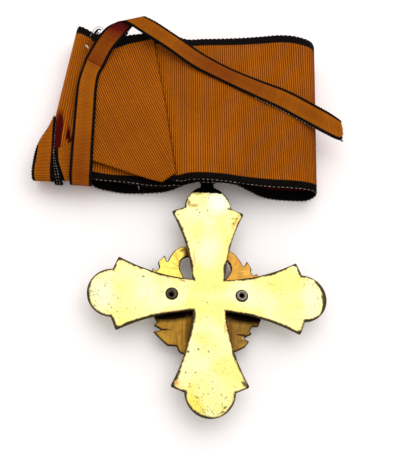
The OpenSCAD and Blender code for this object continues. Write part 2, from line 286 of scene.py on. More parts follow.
emblem = bpy.data.objects.new("cast_emblem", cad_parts["emblem"].data.copy())
bpy.context.scene.collection.objects.link(emblem)
merged = bmesh.new()
merged.from_mesh(emblem.data)
bmesh.ops.remove_doubles(merged, verts=merged.verts, dist=0.001 * MM)
merged.to_mesh(emblem.data)
merged.free()
remesh = emblem.modifiers.new("remesh", "REMESH")
remesh.mode = "VOXEL"
remesh.voxel_size = VOXEL * MM
remesh.use_smooth_shade = True
emblem.modifiers.new("soften", "SMOOTH").iterations = SMOOTHING
mesh = evaluated(emblem).data
# "edge" tells how steep the surface is, and spreads a few points inwards.
normals, ends = np.zeros(len(mesh.vertices) * 3), np.zeros(len(mesh.edges) * 2, int)
mesh.vertices.foreach_get("normal", normals)
mesh.edges.foreach_get("vertices", ends)
first, second = ends.reshape(-1, 2).T
steepness = np.clip((FLAT - np.abs(normals[2::3])) / (FLAT - STEEP), 0, 1)
for _ in range(EDGE_SPREAD):
    wider = steepness.copy()
    np.maximum.at(wider, first, steepness[second] * EDGE_FADE)
    np.maximum.at(wider, second, steepness[first] * EDGE_FADE)
    steepness = wider
mesh.attributes.new("edge", "FLOAT", "POINT").data.foreach_set("value", steepness)
mesh.materials.clear()
mesh.materials.append(cast_gilding)
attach(emblem, "root")
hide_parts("emblem")

# Gilt cross
# A struck and filed plate of gilt bronze, with four flared arms that end in stepped shoulders and
# round lobes. The reverse is smooth and pale, with pits and a painted reflection of the window, and
# the gilding is worn off its edges, which carry painted shade as well.
TIP = (CROSS_HIGH.x - CROSS_LOW.x) / 2 / MM
REVERSE = CROSS_HIGH.z / MM
LOBE_R, LOBE_U = 5.9, TIP - 5.9
SHOULDER_U, SHOULDER_V, ROOT = 21.9, 9.15, 3.95
SIDE_SAG, CORNER_RUB, SUNK_DEPTH = 1.0, 0.5, 1.7
RIVET_X, RIVET_HOLE_R = (-9.0, 7.9), 1.0
ARC_STEPS, LOBE_STEPS, HOLE_STEPS = 24, 72, 32
# Beyond this line the upper lobe was filed down where the loop was soldered on, and near its tip
# it is painted black as shade under the edge of the ribbon.
SOLDER_LINE, FILED_DEPTH, FILED_ABOVE = 27.3, 0.3, 1.0


def placed(points):
    """Points in millimetres from the centre of the cross, as frame coordinates in metres."""
    return np.asarray(points, float) * MM + np.array([CENTRE_X, CENTRE_Y, 0])


def shaken(tree, where, noise, reach):
    """Coordinates that a noise moves to all sides by up to half the reach."""
    shift = add(tree, "VectorMath SUBTRACT", [noise.outputs["Color"], (0.5, 0.5, 0.5)])
    return add(tree, "VectorMath MULTIPLY_ADD", [shift, (reach, reach, 0), where])


# Mercury-gilt bronze, burnished by wear. It gives a pale, softly blurred mirror with a painted
# reflection of the window, palest along the middle of each arm and yellower towards its edges, and
# dark bare bronze where the gilding is gone.
worn_gilding, tree, shader = new_material("worn_gilt_bronze")
in_mm = in_millimetres(tree)
sides = from_centre(tree, in_mm)
away_x, away_y = (add(tree, "Math ABSOLUTE", [side]) for side in sides)
outward = add(tree, "Math MAXIMUM", [away_x, away_y])
sideways = add(tree, "Math MINIMUM", [away_x, away_y])
half_arm = add(tree, "MapRange", [outward, ROOT, SHOULDER_U, ROOT, SHOULDER_V])
off_axis = add(tree, "Math DIVIDE", [sideways, half_arm])
clouds = add(tree, "TexNoise", [in_mm, 0.13, 4])
cloudy = add(tree, "MapRange", [clouds, 0.24, 0.74])
# Painted reflection: the window shows pale along the middle of an arm and fades to yellow off it.
window_reflection_fade = add(tree, "Math MULTIPLY_ADD", [off_axis, 0.33, cloudy])
gilding = add(tree, "ValToRGB", [window_reflection_fade],
              stops=[(0.1, "#dfdcac"), (0.923, "#d8d07a"), (0.5, "#dcd99d")])
ragged = shaken(tree, in_mm, add(tree, "TexNoise", [in_mm, 1.6, 3]), 0.7)
PIT, BARE, COPPERY, STAIN = "#55522a", "#4a4029", "#b98a66", "#8f5c26"
# Paler patches are painted highlights of the window, and yellower ones mark where less of it is
# painted in.
reflection_toned = marked(tree, ragged, gilding, [
    (2.6, 24.8, 2.6, 3.4, 0, 0.8, "#e4e3cf"), (-25.4, -0.8, 2.6, 4, 0, 0.55, "#e3e1c4"),
    (25.5, 0.4, 2.4, 4.2, 0, 0.5, "#e2e0c0"), (19.8, 4.2, 4.2, 3.2, 10, 0.55, "#e0da5e"),
    (19, -4, 4.5, 2.4, 0, 0.4, "#e0da70"), (-19.5, -5.6, 4, 2.4, 0, 0.3, "#e0da70"),
    (-3.4, -26, 3.4, 1.5, -48, 0.65, "#dcca48"), (-4.3, -22.4, 1.2, 1.6, 0, 0.5, "#d8ca58"),
    (-4.6, -12.6, 1.8, 2.6, 0, 0.45, "#e2e0c2"), (0.4, 12, 3, 5, 0, 0.45, "#e2e0c0"),
])
# Pits up to 0.3 mm across, more of them towards the lobes.
cells = add(tree, "TexVoronoi", [in_mm, 0.95])
chance = add(tree, "SeparateColor", [cells.outputs["Color"]])
lobe_share = add(tree, "MapRange", [outward, SHOULDER_U - 5, TIP, 0, 0.5])
likely = add(tree, "Math ADD", [chance, lobe_share])
pit_size = add(tree, "MapRange", [likely, 0.45, 1.2, 0, 0.24])
pit_inside = add(tree, "Math SUBTRACT", [pit_size, cells])
pit = add(tree, "MapRange", [pit_inside, -0.02, 0.06, 0, 0.75])
# Finer specks crowd at the tips of the lobes.
fine_cells = add(tree, "TexVoronoi", [in_mm, 2.3])
fine_chance = add(tree, "SeparateColor", [fine_cells.outputs["Color"]]).outputs["Green"]
tip_share = add(tree, "MapRange", [outward, LOBE_U, TIP - 0.5, 0.6, 1.0])
fine_size = add(tree, "Math SUBTRACT", [tip_share, fine_chance])
fine_away = add(tree, "Math MULTIPLY", [fine_cells, -1.0])
fine_inside = add(tree, "Math MULTIPLY_ADD", [fine_size, 0.66, fine_away])
speck = add(tree, "MapRange", [fine_inside, 0, 0.12, 0, 0.6])
flaw = add(tree, "Math MAXIMUM", [pit, speck])
pitted = covered(tree, reflection_toned, [(flaw, "#7c7440")])
blemished = marked(tree, ragged, pitted, [
    # brown stains and golden patches
    (-3.6, -6.7, 0.5, 0.3, 60, 0.8, STAIN), (-3.9, -7.9, 0.3, 0.2, 70, 0.6, STAIN),
    (-6.4, 3.4, 0.8, 0.25, -15, 0.8, STAIN), (-4.7, 6.6, 0.25, 1, 0, 0.5, STAIN),
    (-2.8, 27, 1.5, 0.42, 0, 0.75, "#9c8438"), (-3.7, 23.6, 1.4, 0.5, 4, 0.75, "#a2792a"),
    (-4.9, 24.3, 0.5, 0.8, 0, 0.8, "#6f5a26"), (5.3, 23.1, 0.5, 0.4, 0, 0.85, "#5f6030"),
    (6.9, 19.6, 2.3, 0.55, 62, 0.6, "#b3883c"), (6.2, 20.5, 0.5, 0.3, 20, 0.7, "#6e6030"),
    (7.2, 20.4, 0.3, 0.2, 0, 0.9, BARE), (6.3, 19, 0.3, 0.25, 0, 0.9, BARE),
    (-8, -21, 0.95, 0.6, -40, 0.9, "#c58c42"), (-7.5, -20.2, 0.25, 0.25, 0, 0.8, PIT),
    (-8.9, -21.9, 0.5, 0.4, -20, 0.9, BARE), (8.1, -21.2, 0.9, 0.65, -40, 0.95, BARE),
    (7.4, -20.9, 0.3, 0.25, 0, 0.8, BARE), (-4.8, -22, 0.35, 0.25, 0, 0.6, "#8a7424"),
    # copper shows beside the edges near the centre
    (-14.3, 6.2, 1.6, 0.32, -22, 0.7, COPPERY), (-10.7, 4.6, 1.3, 0.32, -12, 0.75, COPPERY),
    (-9.3, -4.7, 2.9, 0.42, 10, 0.8, COPPERY), (-5.7, -4.2, 1.2, 0.2, 4, 0.6, "#b99a50"),
    (3.55, -8.2, 0.2, 1.6, 0, 0.6, "#b3883c"), (-3.6, 9.4, 0.22, 2, 6, 0.6, "#b3883c"),
    # scratches
    (15.2, 3.3, 1.15, 0.12, -27, 0.75, "#8d7c30"), (22.6, 4.8, 1, 0.09, 0, 0.65, "#a08c40"),
    (-3.1, -24.4, 0.55, 0.13, -12, 0.85, PIT), (0.3, -27.5, 1.1, 0.12, -58, 0.7, "#85762e"),
    (-0.8, -27.3, 0.6, 0.1, -45, 0.5, "#a0903c"), (18, -2.4, 2.2, 0.08, 8, 0.35, "#a09a50"),
    # single deep pits
    (-15.9, 4.1, 0.42, 0.26, -15, 0.95, BARE), (-5.1, -14, 0.35, 0.33, 0, 0.95, PIT),
    (-2.7, -13.4, 0.26, 0.26, 0, 0.75, PIT), (-0.3, -13.8, 0.25, 0.32, 0, 0.65, PIT),
    (-5.2, -13.2, 0.25, 0.25, 0, 0.5, PIT), (-3.6, -13.5, 0.2, 0.2, 0, 0.4, PIT),
    (-5.7, -18.8, 0.26, 0.33, 0, 0.8, PIT), (-3.4, -18.8, 0.3, 0.22, 0, 0.6, PIT),
    (3.2, -26.6, 0.3, 0.25, 0, 0.9, BARE), (2.6, -27.6, 0.5, 0.25, 20, 0.85, BARE),
    (-0.5, -1.9, 0.22, 0.25, 0, 0.8, PIT), (-7.7, 20.9, 0.25, 0.25, 0, 0.8, PIT),
    (-2.9, 22.5, 0.26, 0.26, 0, 0.7, PIT), (-2.2, 21.7, 0.24, 0.3, 0, 0.65, PIT),
    (-0.2, 22.3, 0.26, 0.28, 0, 0.7, PIT), (-2.6, 20.9, 0.25, 0.2, 0, 0.5, PIT),
    (-6.4, 17.2, 0.28, 0.28, 0, 0.7, PIT), (-2.5, 13.5, 0.3, 0.3, 0, 0.5, PIT),
    (-11.4, 0.4, 0.3, 0.2, 0, 0.6, "#8a8450"), (-14.9, 0.3, 0.3, 0.25, 0, 0.4, "#8a8450"),
    (17.5, 1.8, 0.3, 0.22, -30, 0.6, "#8a8450"), (7.5, 4.3, 0.4, 0.2, 0, 0.6, "#9a7c30"),
    (-24.6, 1.9, 0.22, 0.22, 0, 0.6, PIT), (-23.1, -3.9, 0.25, 0.25, 0, 0.6, PIT),
])
# Wear and painted shade grow towards the edges, with a ragged border that a noise moves in and out.
edge = add(tree, "Attribute", attribute_name="edge").outputs["Fac"]
nibbles = add(tree, "TexNoise", [in_mm, 1.5, 5])
stretches = add(tree, "TexNoise", [in_mm, 0.22, 1])
uneven_edge = add(tree, "Math ADD", [edge, nibbles])
rough_edge = add(tree, "Math MULTIPLY_ADD", [stretches, 1.7, uneven_edge])
near_edge = add(tree, "MapRange", [edge, 0, 0.12])
wear_and_shade_here = add(tree, "Math MULTIPLY", [rough_edge, near_edge])
# A bare crescent at the tip of the right arm, a long bare stretch on the left one, and bare corners
# at the shoulders, where the coordinates are folded onto a single corner.
folded_x, folded_y = (
    add(tree, "Math ADD", [part, centre / MM])
    for part, centre in ((outward, CENTRE_X), (sideways, CENTRE_Y))
)
folded = add(tree, "CombineXYZ", [folded_x, folded_y])
nibbled = shaken(tree, in_mm, nibbles, 2.4)
for space, *spot in (
    (nibbled, TIP + 0.1, -0.4, 2.6, 8.0, 4, 1.9), (nibbled, -16.2, 6.75, 7.0, 0.65, -20, 0.9),
    (folded, SHOULDER_U - 0.2, SHOULDER_V - 0.2, 0.8, 0.8, 0, 1.6),
):
    share = oval(tree, space, spot, 1.2, 0.4)
    wear_and_shade_here = add(tree, "Math ADD", [wear_and_shade_here, share])
coppery = add(tree, "MapRange", [wear_and_shade_here, 1.53, 1.73, 0, 0.75])
bared = add(tree, "MapRange", [wear_and_shade_here, 1.74, 1.96])
# Painted shade: the tip of the upper lobe turns black under the edge of the ribbon.
north = add(tree, "Math MULTIPLY_ADD", [nibbles, 1.1, sides[1]])
ribbon_shade_black = add(tree, "MapRange", [north, SOLDER_LINE + 0.46, SOLDER_LINE + 0.6])
cross_colour = covered(tree, blemished, [(coppery, "#a08652"), (bared, BARE),
                                         (ribbon_shade_black, "#0d0b08")])
dulled = add(tree, "MapRange", [bared, 0, 1, 0.36, 0.6])
waves = add(tree, "TexNoise", [in_mm, 0.3, 2])
height = add(tree, "Math MULTIPLY_ADD", [pit, -0.25, waves])
bump = add(tree, "Bump", {"Height": height, "Strength": 0.4, "Distance": 0.12 * MM})
give(tree, shader, {"Base Color": cross_colour, "Roughness": dulled, "Normal": bump,
                    "Metallic": 1.0})


def rub_shoulders(outline, rub):
    """The outline with its eight shoulder corners rubbed round."""
    count, points = len(outline), []
    for i, corner in enumerate(outline):
        if i % (count // 4) not in (ARC_STEPS - 1, ARC_STEPS + LOBE_STEPS):
            points.append(corner)
            continue
        into, out = outline[i - 1] - corner, outline[(i + 1) % count] - corner
        into, out = (v / np.linalg.norm(v) * rub for v in (into, out))
        points += [corner + into * (1 - s) ** 2 + out * s ** 2 for s in (0, 0.25, 0.5, 0.75, 1)]
    return np.array(points)


def inset(outline, distance):
    """The outline moved inwards by a distance, with mitred corners."""
    before = outline - np.roll(outline, 1, axis=0)
    after = np.roll(outline, -1, axis=0) - outline
    first, second = (
        np.stack([-run[:, 1], run[:, 0]], 1) / np.linalg.norm(run, axis=1)[:, None]
        for run in (before, after)
    )
    return outline + distance * (first + second) / (1 + (first * second).sum(1)[:, None])


def tube(rings, size, start=0, capped=False):
    """The faces of a tube of rings with so many points each, and those of its two ends."""
    steps = [(k, (k + 1) % size) for k in range(size)]
    faces = [(a, b, b + size, a + size) for ring in range(start, start + (rings - 1) * size, size)
             for a, b in ((ring + k, ring + n) for k, n in steps)]
    last = start + (rings - 1) * size
    if capped:
        faces += [tuple(range(start, start + size))[::-1], tuple(range(last, last + size))]
    return faces


def finish_shell(shell, mesh, sharp_angle):
    """Turns the faces outwards, smooths them except over sharp edges, and writes the mesh."""
    bmesh.ops.recalc_face_normals(shell, faces=shell.faces)
    for face in shell.faces:
        face.smooth = True
    for line in shell.edges:
        line.smooth = line.calc_face_angle(0) < math.radians(sharp_angle)
    shell.to_mesh(mesh)
    shell.free()


# The sharp outline is four turned copies of one arm, counterclockwise. An arm is one curved side,
# the lobe between its two shoulders, and the other side.
root, shoulder = np.array([ROOT, -ROOT]), np.array([SHOULDER_U, -SHOULDER_V])
chord = shoulder - root
inward = np.array([-chord[1], chord[0]]) / np.linalg.norm(chord)
side = [root + chord * s + inward * SIDE_SAG * 4 * s * (1 - s)
        for s in np.linspace(0, 1, ARC_STEPS)]
notch = math.acos(0.1 / LOBE_R)
lobe = [(LOBE_U + LOBE_R * math.cos(a), LOBE_R * math.sin(a))
        for a in np.linspace(-notch, notch, LOBE_STEPS)]
arm = np.array([*side, *lobe, *(point * (1, -1) for point in side[:0:-1])])
sharp = np.vstack(
    [arm @ np.array([[c, s], [-s, c]]) for c, s in ((1, 0), (0, 1), (-1, 0), (0, -1))]
)
outline = rub_shoulders(sharp, CORNER_RUB)
facing_down = np.clip((inset(outline, 0.1) - outline)[:, 1] / 0.1 * 1.6, 0, 1)
# Rings of the plate, from the reverse round the edge to the sunk field of the front. The edges that
# face up the badge are darkened at the rim, the others down their whole wall: worn gilding, with
# painted shade on the walls that face away from the window.
# Columns: inset from the outline, depth below the reverse, wear and painted shade where the edge
# faces up, wear and painted shade where it faces down
plate_rings = [
    [0.95, 0, 0, 0], [0.62, 0, 0.25, 0.05], [0.42, 0.005, 0.5, 0.25], [0.24, 0.025, 0.75, 0.5],
    [0.12, 0.09, 0.9, 0.75], [0.04, 0.2, 0.9, 0.95], [0, 0.36, 0.6, 1], [0, 0.56, 0.4, 0.95],
    [0, 0.78, 0.5, 1.1], [0.01, 0.95, 0.9, 1.3], [0.06, 1.06, 1.1, 1.3], [0.16, 1.1, 0.5, 0.7],
    [0.98, 1.1, 0.4, 0.4], [1.08, 1.14, 0.4, 0.4], [1.1, 1.24, 0.4, 0.4], [1.1, 2.04, 0.5, 0.5],
    [1.16, 2.16, 0.8, 0.8], [1.3, 2.2, 0.5, 0.5], [1.92, 2.2, 0.5, 0.5], [2.06, 2.16, 0.8, 0.8],
    [2.1, 2.05, 0.5, 0.5], [2.1, 1.76, 0.3, 0.3], [2.2, SUNK_DEPTH, 0, 0],
]
points, wear_and_shade = [], []
for distance, depth, wear_shade_up, wear_shade_down in plate_rings:
    ring_line = rub_shoulders(inset(sharp, distance), max(CORNER_RUB - distance * 0.8, 0.04))
    points += [(x, y, REVERSE - depth) for x, y in ring_line]
    wear_and_shade += list(wear_shade_up * (1 - facing_down) + wear_shade_down * facing_down)
faces = [(b, a, d, c) for a, b, c, d in tube(len(plate_rings), len(outline))]
for x in RIVET_X:
    faces += tube(2, HOLE_STEPS, start=len(points))
    for depth, worn in ((0.0, 0.0), (SUNK_DEPTH, 0.5)):
        points += [(x + RIVET_HOLE_R * math.cos(turn), RIVET_HOLE_R * math.sin(turn),
                    REVERSE - depth) for turn in np.linspace(0, 2 * math.pi, HOLE_STEPS, False)]
        wear_and_shade += [worn] * HOLE_STEPS
cross = mesh_object("gilt_cross", placed(points), faces, worn_gilding, edge=wear_and_shade)
shell = bmesh.new()
shell.from_mesh(cross.data)
open_edges = [e for e in shell.edges if e.is_boundary]
for height in (REVERSE, REVERSE - SUNK_DEPTH):
    level = [e for e in open_edges if abs(e.verts[0].co.z / MM - height) < 0.01]
    bmesh.ops.triangle_fill(shell, use_beauty=True, edges=level)
solder_line = Vector(placed([0, SOLDER_LINE, 0]))
bmesh.ops.bisect_plane(shell, geom=[*shell.verts, *shell.edges, *shell.faces],
                       plane_co=solder_line, plane_no=(0, 1, 0))
# The filed end slopes down to the edge, and its wall gets lower with it.
for point in shell.verts:
    depth = REVERSE - point.co.z / MM
    beyond = min(max((point.co.y - solder_line.y) / MM / (TIP - SOLDER_LINE), 0), 1)
    if beyond > 0 and depth < FILED_ABOVE:
        depth += (FILED_ABOVE - depth) * FILED_DEPTH * beyond
        point.co.z = (REVERSE - depth) * MM
finish_shell(shell, cross.data, 35)
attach(cross, "root")
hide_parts("cross_body")

# Suspension loop
# A flat neck of bronze, soldered to the tip of the upper arm, ends in a wire ring that the fold
# of the ribbon goes round. Both are black with tarnish and with painted shade under the ribbon.
NECK_HALF, NECK_T, NECK_STEPS = 1.68, 1.2, 20
LOOP_R, LOOP_WIRE, LOOP_Z, LOOP_Y = 2.4, 1.5, 4.75, TIP + 4.35

# Bronze under an old crust of sulphide, made darker still as painted shade under the ribbon. It
# gives a dull brown-black metal with a fine grain.
tarnish_and_shade, tree, shader = new_material("tarnished_bronze")
sulphide = add(tree, "TexNoise", [in_millimetres(tree), 1.1, 4])
tarnish_and_shade_tone = add(tree, "ValToRGB", [sulphide], stops=[(0.4, "#0b0a08"), (0.8, "#3a3020")])
crust = add(tree, "Bump", {"Height": sulphide, "Strength": 0.4, "Distance": 0.05 * MM})
give(tree, shader, {"Base Color": tarnish_and_shade_tone, "Normal": crust, "Metallic": 1.0,
                    "Roughness": 0.55})


def new_tree(name, sizes):
    """A Geometry Nodes tree that takes geometry, the named sizes and a material."""
    tree = bpy.data.node_groups.new(name, "GeometryNodeTree")
    for socket, kind in {"Geometry": "Geometry", **sizes, "Material": "Material"}.items():
        tree.interface.new_socket(socket, in_out="INPUT", socket_type="NodeSocket" + kind)
    tree.interface.new_socket("Geometry", in_out="OUTPUT", socket_type="NodeSocketGeometry")
    return tree, add(tree, "GroupInput").outputs


def end_tree(tree, given, shape):
    """Ends a tree with its shape as one smooth mesh in the given material."""
    real = add(tree, "RealizeInstances", [shape])
    smooth = add(tree, "SetShadeSmooth", [real])
    dressed = add(tree, "SetMaterial", {"Geometry": smooth, "Material": given["Material"]})
    add(tree, "GroupOutput", {"Geometry": dressed})


def run_tree(made, tree, *values):
    """Passes an object's mesh through a tree, whose sizes and material are given in order."""
    modifier = made.modifiers.new(tree.name, "NODES")
    modifier.node_group = tree
    sockets = [item for item in tree.interface.items_tree if item.in_out == "INPUT"]
    for socket, value in zip(sockets[1:], values):
        modifier[socket.identifier] = value
    return evaluated(made)


# Columns: y, half the width, height of the middle
neck_rows = [
    # the solder that fills the angle between neck and lobe
    [26.9, 4.5, 5.1], [27.5, 4.35, 5.1], [28, 3.9, 5.1], [28.45, 3.4, 5.1], [28.85, 2.8, 5.1],
    [29.15, 2.2, 5.05], [29.4, NECK_HALF + 0.15, 5],
    [29.8, NECK_HALF, LOOP_Z], [30.6, NECK_HALF, LOOP_Z], [31.2, NECK_HALF - 0.15, LOOP_Z],
]
points = []
for y, half_width, z in neck_rows:
    for turn in np.linspace(0, 2 * math.pi, NECK_STEPS, False):
        c, s = math.cos(turn), math.sin(turn)
        points.append((half_width * math.copysign(abs(c) ** 0.35, c), y,
                       z + NECK_T / 2 * math.copysign(abs(s) ** 0.6, s)))
neck_faces = tube(len(neck_rows), NECK_STEPS, capped=True)
neck = mesh_object("loop_neck", placed(points), neck_faces, tarnish_and_shade)
neck.data.shade_smooth()

# The ring is a circle swept by round wire.
ring_tree, given = new_tree(
    "wire_ring", {"Ring radius": "Float", "Wire radius": "Float", "Centre": "Vector"}
)
circle, wire = (
    add(ring_tree, "CurvePrimitiveCircle", [steps, given[radius]])
    for steps, radius in ((48, "Ring radius"), (16, "Wire radius"))
)
swept = add(ring_tree, "CurveToMesh", [circle, wire])
end_tree(ring_tree, given, add(ring_tree, "Transform", [swept, given["Centre"]]))
ring = run_tree(
    mesh_object("suspension_ring", [], []), ring_tree, LOOP_R * MM, LOOP_WIRE / 2 * MM,
    tuple(placed([0, LOOP_Y, LOOP_Z])), tarnish_and_shade,
)
for piece in (neck, ring):
    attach(piece, "root")
    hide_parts("cross_body")

# Rivets
# Two steel tubes that go through the plate and hold the emblem. Their ends are rolled over on the
# reverse; the left one is dirty, and its hole is off its middle.
# Columns: distance from the axis, height, place in the ring of colours from the hole outwards
rivet_profile = [
    [0.45, 4.15, 0], [0.45, 5.6, 0.05], [0.46, 6.15, 0.15], [0.52, 6.42, 0.28], [0.64, 6.57, 0.4],
    [0.8, 6.65, 0.52], [0.98, 6.69, 0.64], [1.14, 6.67, 0.75], [1.3, 6.6, 0.84], [1.44, 6.5, 0.92],
    [1.54, 6.4, 1], [1.55, 6.33, 1], [1.5, 6.31, 1], [0.95, 6.31, 1], [0.95, 3.55, 1],
]
RIVET_STEPS = 48

# Oxidised mild steel, rolled cold. It gives a dull grey lip with brown rust in the hole, painted
# shade that turns the hole black deep down, and a dark line of painted shade round its foot.
oxidised, tree, shader = new_material("oxidised_mild_steel")
grit = add(tree, "TexNoise", [in_millimetres(tree), 3.0, 5])
ring_place, dirt = (
    add(tree, "Attribute", attribute_name=key).outputs["Fac"] for key in ("ring", "dirt")
)
uneven = add(tree, "Math MULTIPLY_ADD", [grit, 0.16, ring_place])
# Painted shade: black deep in the hole and dark round the foot of the lip.
steel_and_shade_tones = add(tree, "ValToRGB", [uneven], stops=[
    (0.2, "#0a0807"), (1, "#29271a"), (0.36, "#33271d"), (0.5, "#6f6058"), (0.66, "#8f837c"),
    (0.84, "#7a7164"), (0.93, "#3b3726"),
])
gritty_dirt = add(tree, "Math MULTIPLY", [grit, dirt])
soiled = add(tree, "MapRange", [gritty_dirt, 0.1, 0.5, 0, 0.9])
steel_colour = covered(tree, steel_and_shade_tones, [(soiled, "#3a3320")])
bump = add(tree, "Bump", {"Height": grit, "Strength": 0.4, "Distance": 0.05 * MM})
give(tree, shader, {"Base Color": steel_colour, "Normal": bump, "Metallic": 1.0, "Roughness": 0.5})

# Columns: side, place of the rivet, how far the hole lies off the middle, dirt
for name, x, off_x, off_y, dirt_share in (
    ("left", RIVET_X[0], -0.12, -0.28, 1.0), ("right", RIVET_X[1], 0.0, 0.0, 0.0),
):
    points, shares = [], []
    for radius, z, share in rivet_profile:
        pull = 1 - min(max((radius - 0.45) / 0.9, 0), 1) if z > 4 else 0
        points += [(x + off_x * pull + radius * math.cos(turn),
                    off_y * pull + radius * math.sin(turn), z)
                   for turn in np.linspace(0, 2 * math.pi, RIVET_STEPS, False)]
        shares += [share] * RIVET_STEPS
    rivet = mesh_object(
        f"tubular_rivet_{name}", placed(points),
        tube(len(rivet_profile), RIVET_STEPS, capped=True), oxidised,
        ring=shares, dirt=[dirt_share] * len(points),
    )
    shell = bmesh.new()
    shell.from_mesh(rivet.data)
    finish_shell(shell, rivet.data, 50)
    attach(rivet, "root")
    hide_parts(f"rivet_{name}")

# Neck ribbon
# A silk grosgrain ribbon 46 mm wide with black woven edges, folded into a flat bundle: lower layer,
# fold at the right, top layer, and an inner layer that comes round the fold at the left.
RIB_PITCH, RIB_HEIGHT = 0.585, 0.045
RIBBON_W, RIBBON_T, RIBBON_EDGE = 46.0, 0.5, 1.95
HOLLOW_DEPTH = 1.3
FAR_EDGE = 1.25  # the far black edge is so many times as wide as the near one
WARP_PITCH = 0.3


def woven_silk(name, pitch, edge_width, lit_crown, shaded_valley, middle_shade):
    """Silk grosgrain, warp-faced over thick cotton picks. It gives fine ribs across the band,
    painted pale on their crowns and red-brown between them as light and shade, a soft gloss and
    dull black edges."""
    material, tree, shader = new_material(name)
    in_mm = in_millimetres(tree)
    along, across, selvedge, hollow = (
        add(tree, "Attribute", attribute_name=key).outputs["Fac"]
        for key in ("along", "across", "selvedge", "hollow")
    )
    # A slow noise lets the ribs run a little unevenly.
    drift = add(tree, "TexNoise", [in_mm, 0.35, 2])
    shifted = add(tree, "Math MULTIPLY_ADD", [drift, 0.5 * pitch, along])
    rib, rib_turn, warp_turn = (
        add(tree, "Math MULTIPLY", [place, factor])
        for place, factor in ((shifted, 1 / pitch), (shifted, 2 * math.pi / pitch),
                              (across, 2 * math.pi / WARP_PITCH))
    )
    # The warp threads part each rib into small beads.
    wave, bead = (add(tree, "Math COSINE", [turn]) for turn in (rib_turn, warp_turn))
    rib_number = add(tree, "Math ROUND", [rib])
    odd = add(tree, "TexWhiteNoise", [rib_number], noise_dimensions="1D")
    # Painted light and shade on the ribs: pale where a crown is lit, red-brown down in the valleys.
    lit_share = add(tree, "MapRange", [wave, -0.9, 0.75])
    colour = add(tree, "Mix RGBA", [lit_share, linear(shaded_valley), linear(lit_crown)])
    fleck = add(tree, "TexNoise", [in_mm, 1.7, 4, 0.7])
    cloud = add(tree, "TexNoise", [in_mm, 0.09, 3])
    tone = 1.0
    for source, *limits in (
        (fleck, 0.3, 0.7, 0.86, 1.12), (cloud, 0.3, 0.7, 0.88, 1.1), (odd, 0, 1, 0.93, 1.06),
        (bead, -1, 1, 0.95, 1.04),
        # the middle of a narrow tape is darker than its sides
        (selvedge, edge_width, edge_width + 1.6, 1.0, middle_shade),
    ):
        shade = add(tree, "MapRange", [source, *limits])
        tone = add(tree, "Math MULTIPLY", [tone, shade])
    colour = add(tree, "VectorMath SCALE", [colour, tone])
    ragged = add(tree, "Math MULTIPLY_ADD", [wave, 0.06, selvedge])
    black = add(tree, "MapRange", [ragged, edge_width + 0.08, edge_width - 0.08])
    deepest = add(tree, "MapRange", [hollow, 1.0, 2.0])
    # Painted shade: the wrong side, the hollows and the shaded stretches of the ties turn dark
    # red-brown, and the deepest hollows nearly black.
    colour = covered(tree, colour, [(hollow, "#5a0c06"), (deepest, "#16060a"), (black, "#080504")])
    relief = add(tree, "Math MULTIPLY_ADD", [bead, 0.5, wave])
    bump = add(tree, "Bump", {"Height": relief, "Strength": 0.35, "Distance": 0.03 * MM})
    give(tree, shader, {"Base Color": colour, "Normal": bump, "Roughness": 0.72,
                        "Specular IOR Level": 0.04})
    return material


def curve_through(rows, samples=14):
    """Rows of numbers on a smooth curve through the given rows."""
    rows = np.asarray(rows, float)
    padded = np.vstack([2 * rows[0] - rows[1], rows, 2 * rows[-1] - rows[-2]])
    t = np.linspace(0, 1, samples, endpoint=False)[:, None]
    spans = [
        0.5 * (2 * b + (c - a) * t + (2 * a - 5 * b + 4 * c - d) * t ** 2
               + (3 * b - a - 3 * c + d) * t ** 3)
        for a, b, c, d in zip(padded, padded[1:], padded[2:], padded[3:])
    ]
    return np.vstack([*spans, rows[-1:]])


def at_places(places, known, rows):
    """Rows of numbers at some places along a line, from the rows at the known places."""
    return np.stack([np.interp(places, known, column) for column in np.transpose(rows)], 1)


def facing(surface):
    """The unit normals of a grid of points whose first axis runs along the cloth."""
    normal = np.cross(np.gradient(surface, axis=1), np.gradient(surface, axis=0))
    return normal / np.linalg.norm(normal, axis=2)[:, :, None]


def woven_shell(name, surface, normal, thickness, places, across, selvedge, upper_shade,
                lower_shade):
    """A closed cloth of even thickness on a grid of points, thinner at its two long edges.

    The mesh keeps, for each point, its place along the cloth, its place across it, its distance
    from the nearer black edge and how much painted shade it has.
    """
    width = np.linalg.norm(surface[:, -1] - surface[:, 0], axis=1)[:, None]
    share = np.linalg.norm(surface - surface[:, :1], axis=2) / np.maximum(width, 0.01)
    from_edge = np.minimum(share, 1 - share) * width
    half = (thickness / 2 * np.clip(0.4 + from_edge / 0.3, 0.4, 1.0))[:, :, None]

    def there_and_back(above, below):
        """The values above from edge to edge, and those below on the way back."""
        return np.concatenate([above, below[:, ::-1]], axis=1)

    ring = there_and_back(surface + normal * half, surface - normal * half)
    size = ring.shape[1]
    faces, end = tube(len(ring), size), (len(ring) - 1) * size
    for k in range(surface.shape[1] - 1):
        a, b, c, d = k, size - 1 - k, size - 2 - k, k + 1
        faces += [(a, b, c, d), (end + d, end + c, end + b, end + a)]
    places = places[:, None]
    layers = {
        key: there_and_back(*(np.broadcast_to(side, across.shape) for side in sides)).reshape(-1)
        for key, sides in (("along", (places, places)), ("across", (across, across)),
                           ("selvedge", (selvedge, selvedge)),
                           ("hollow", (upper_shade, lower_shade)))
    }
    return mesh_object(name, placed(ring.reshape(-1, 3)), faces, **layers)


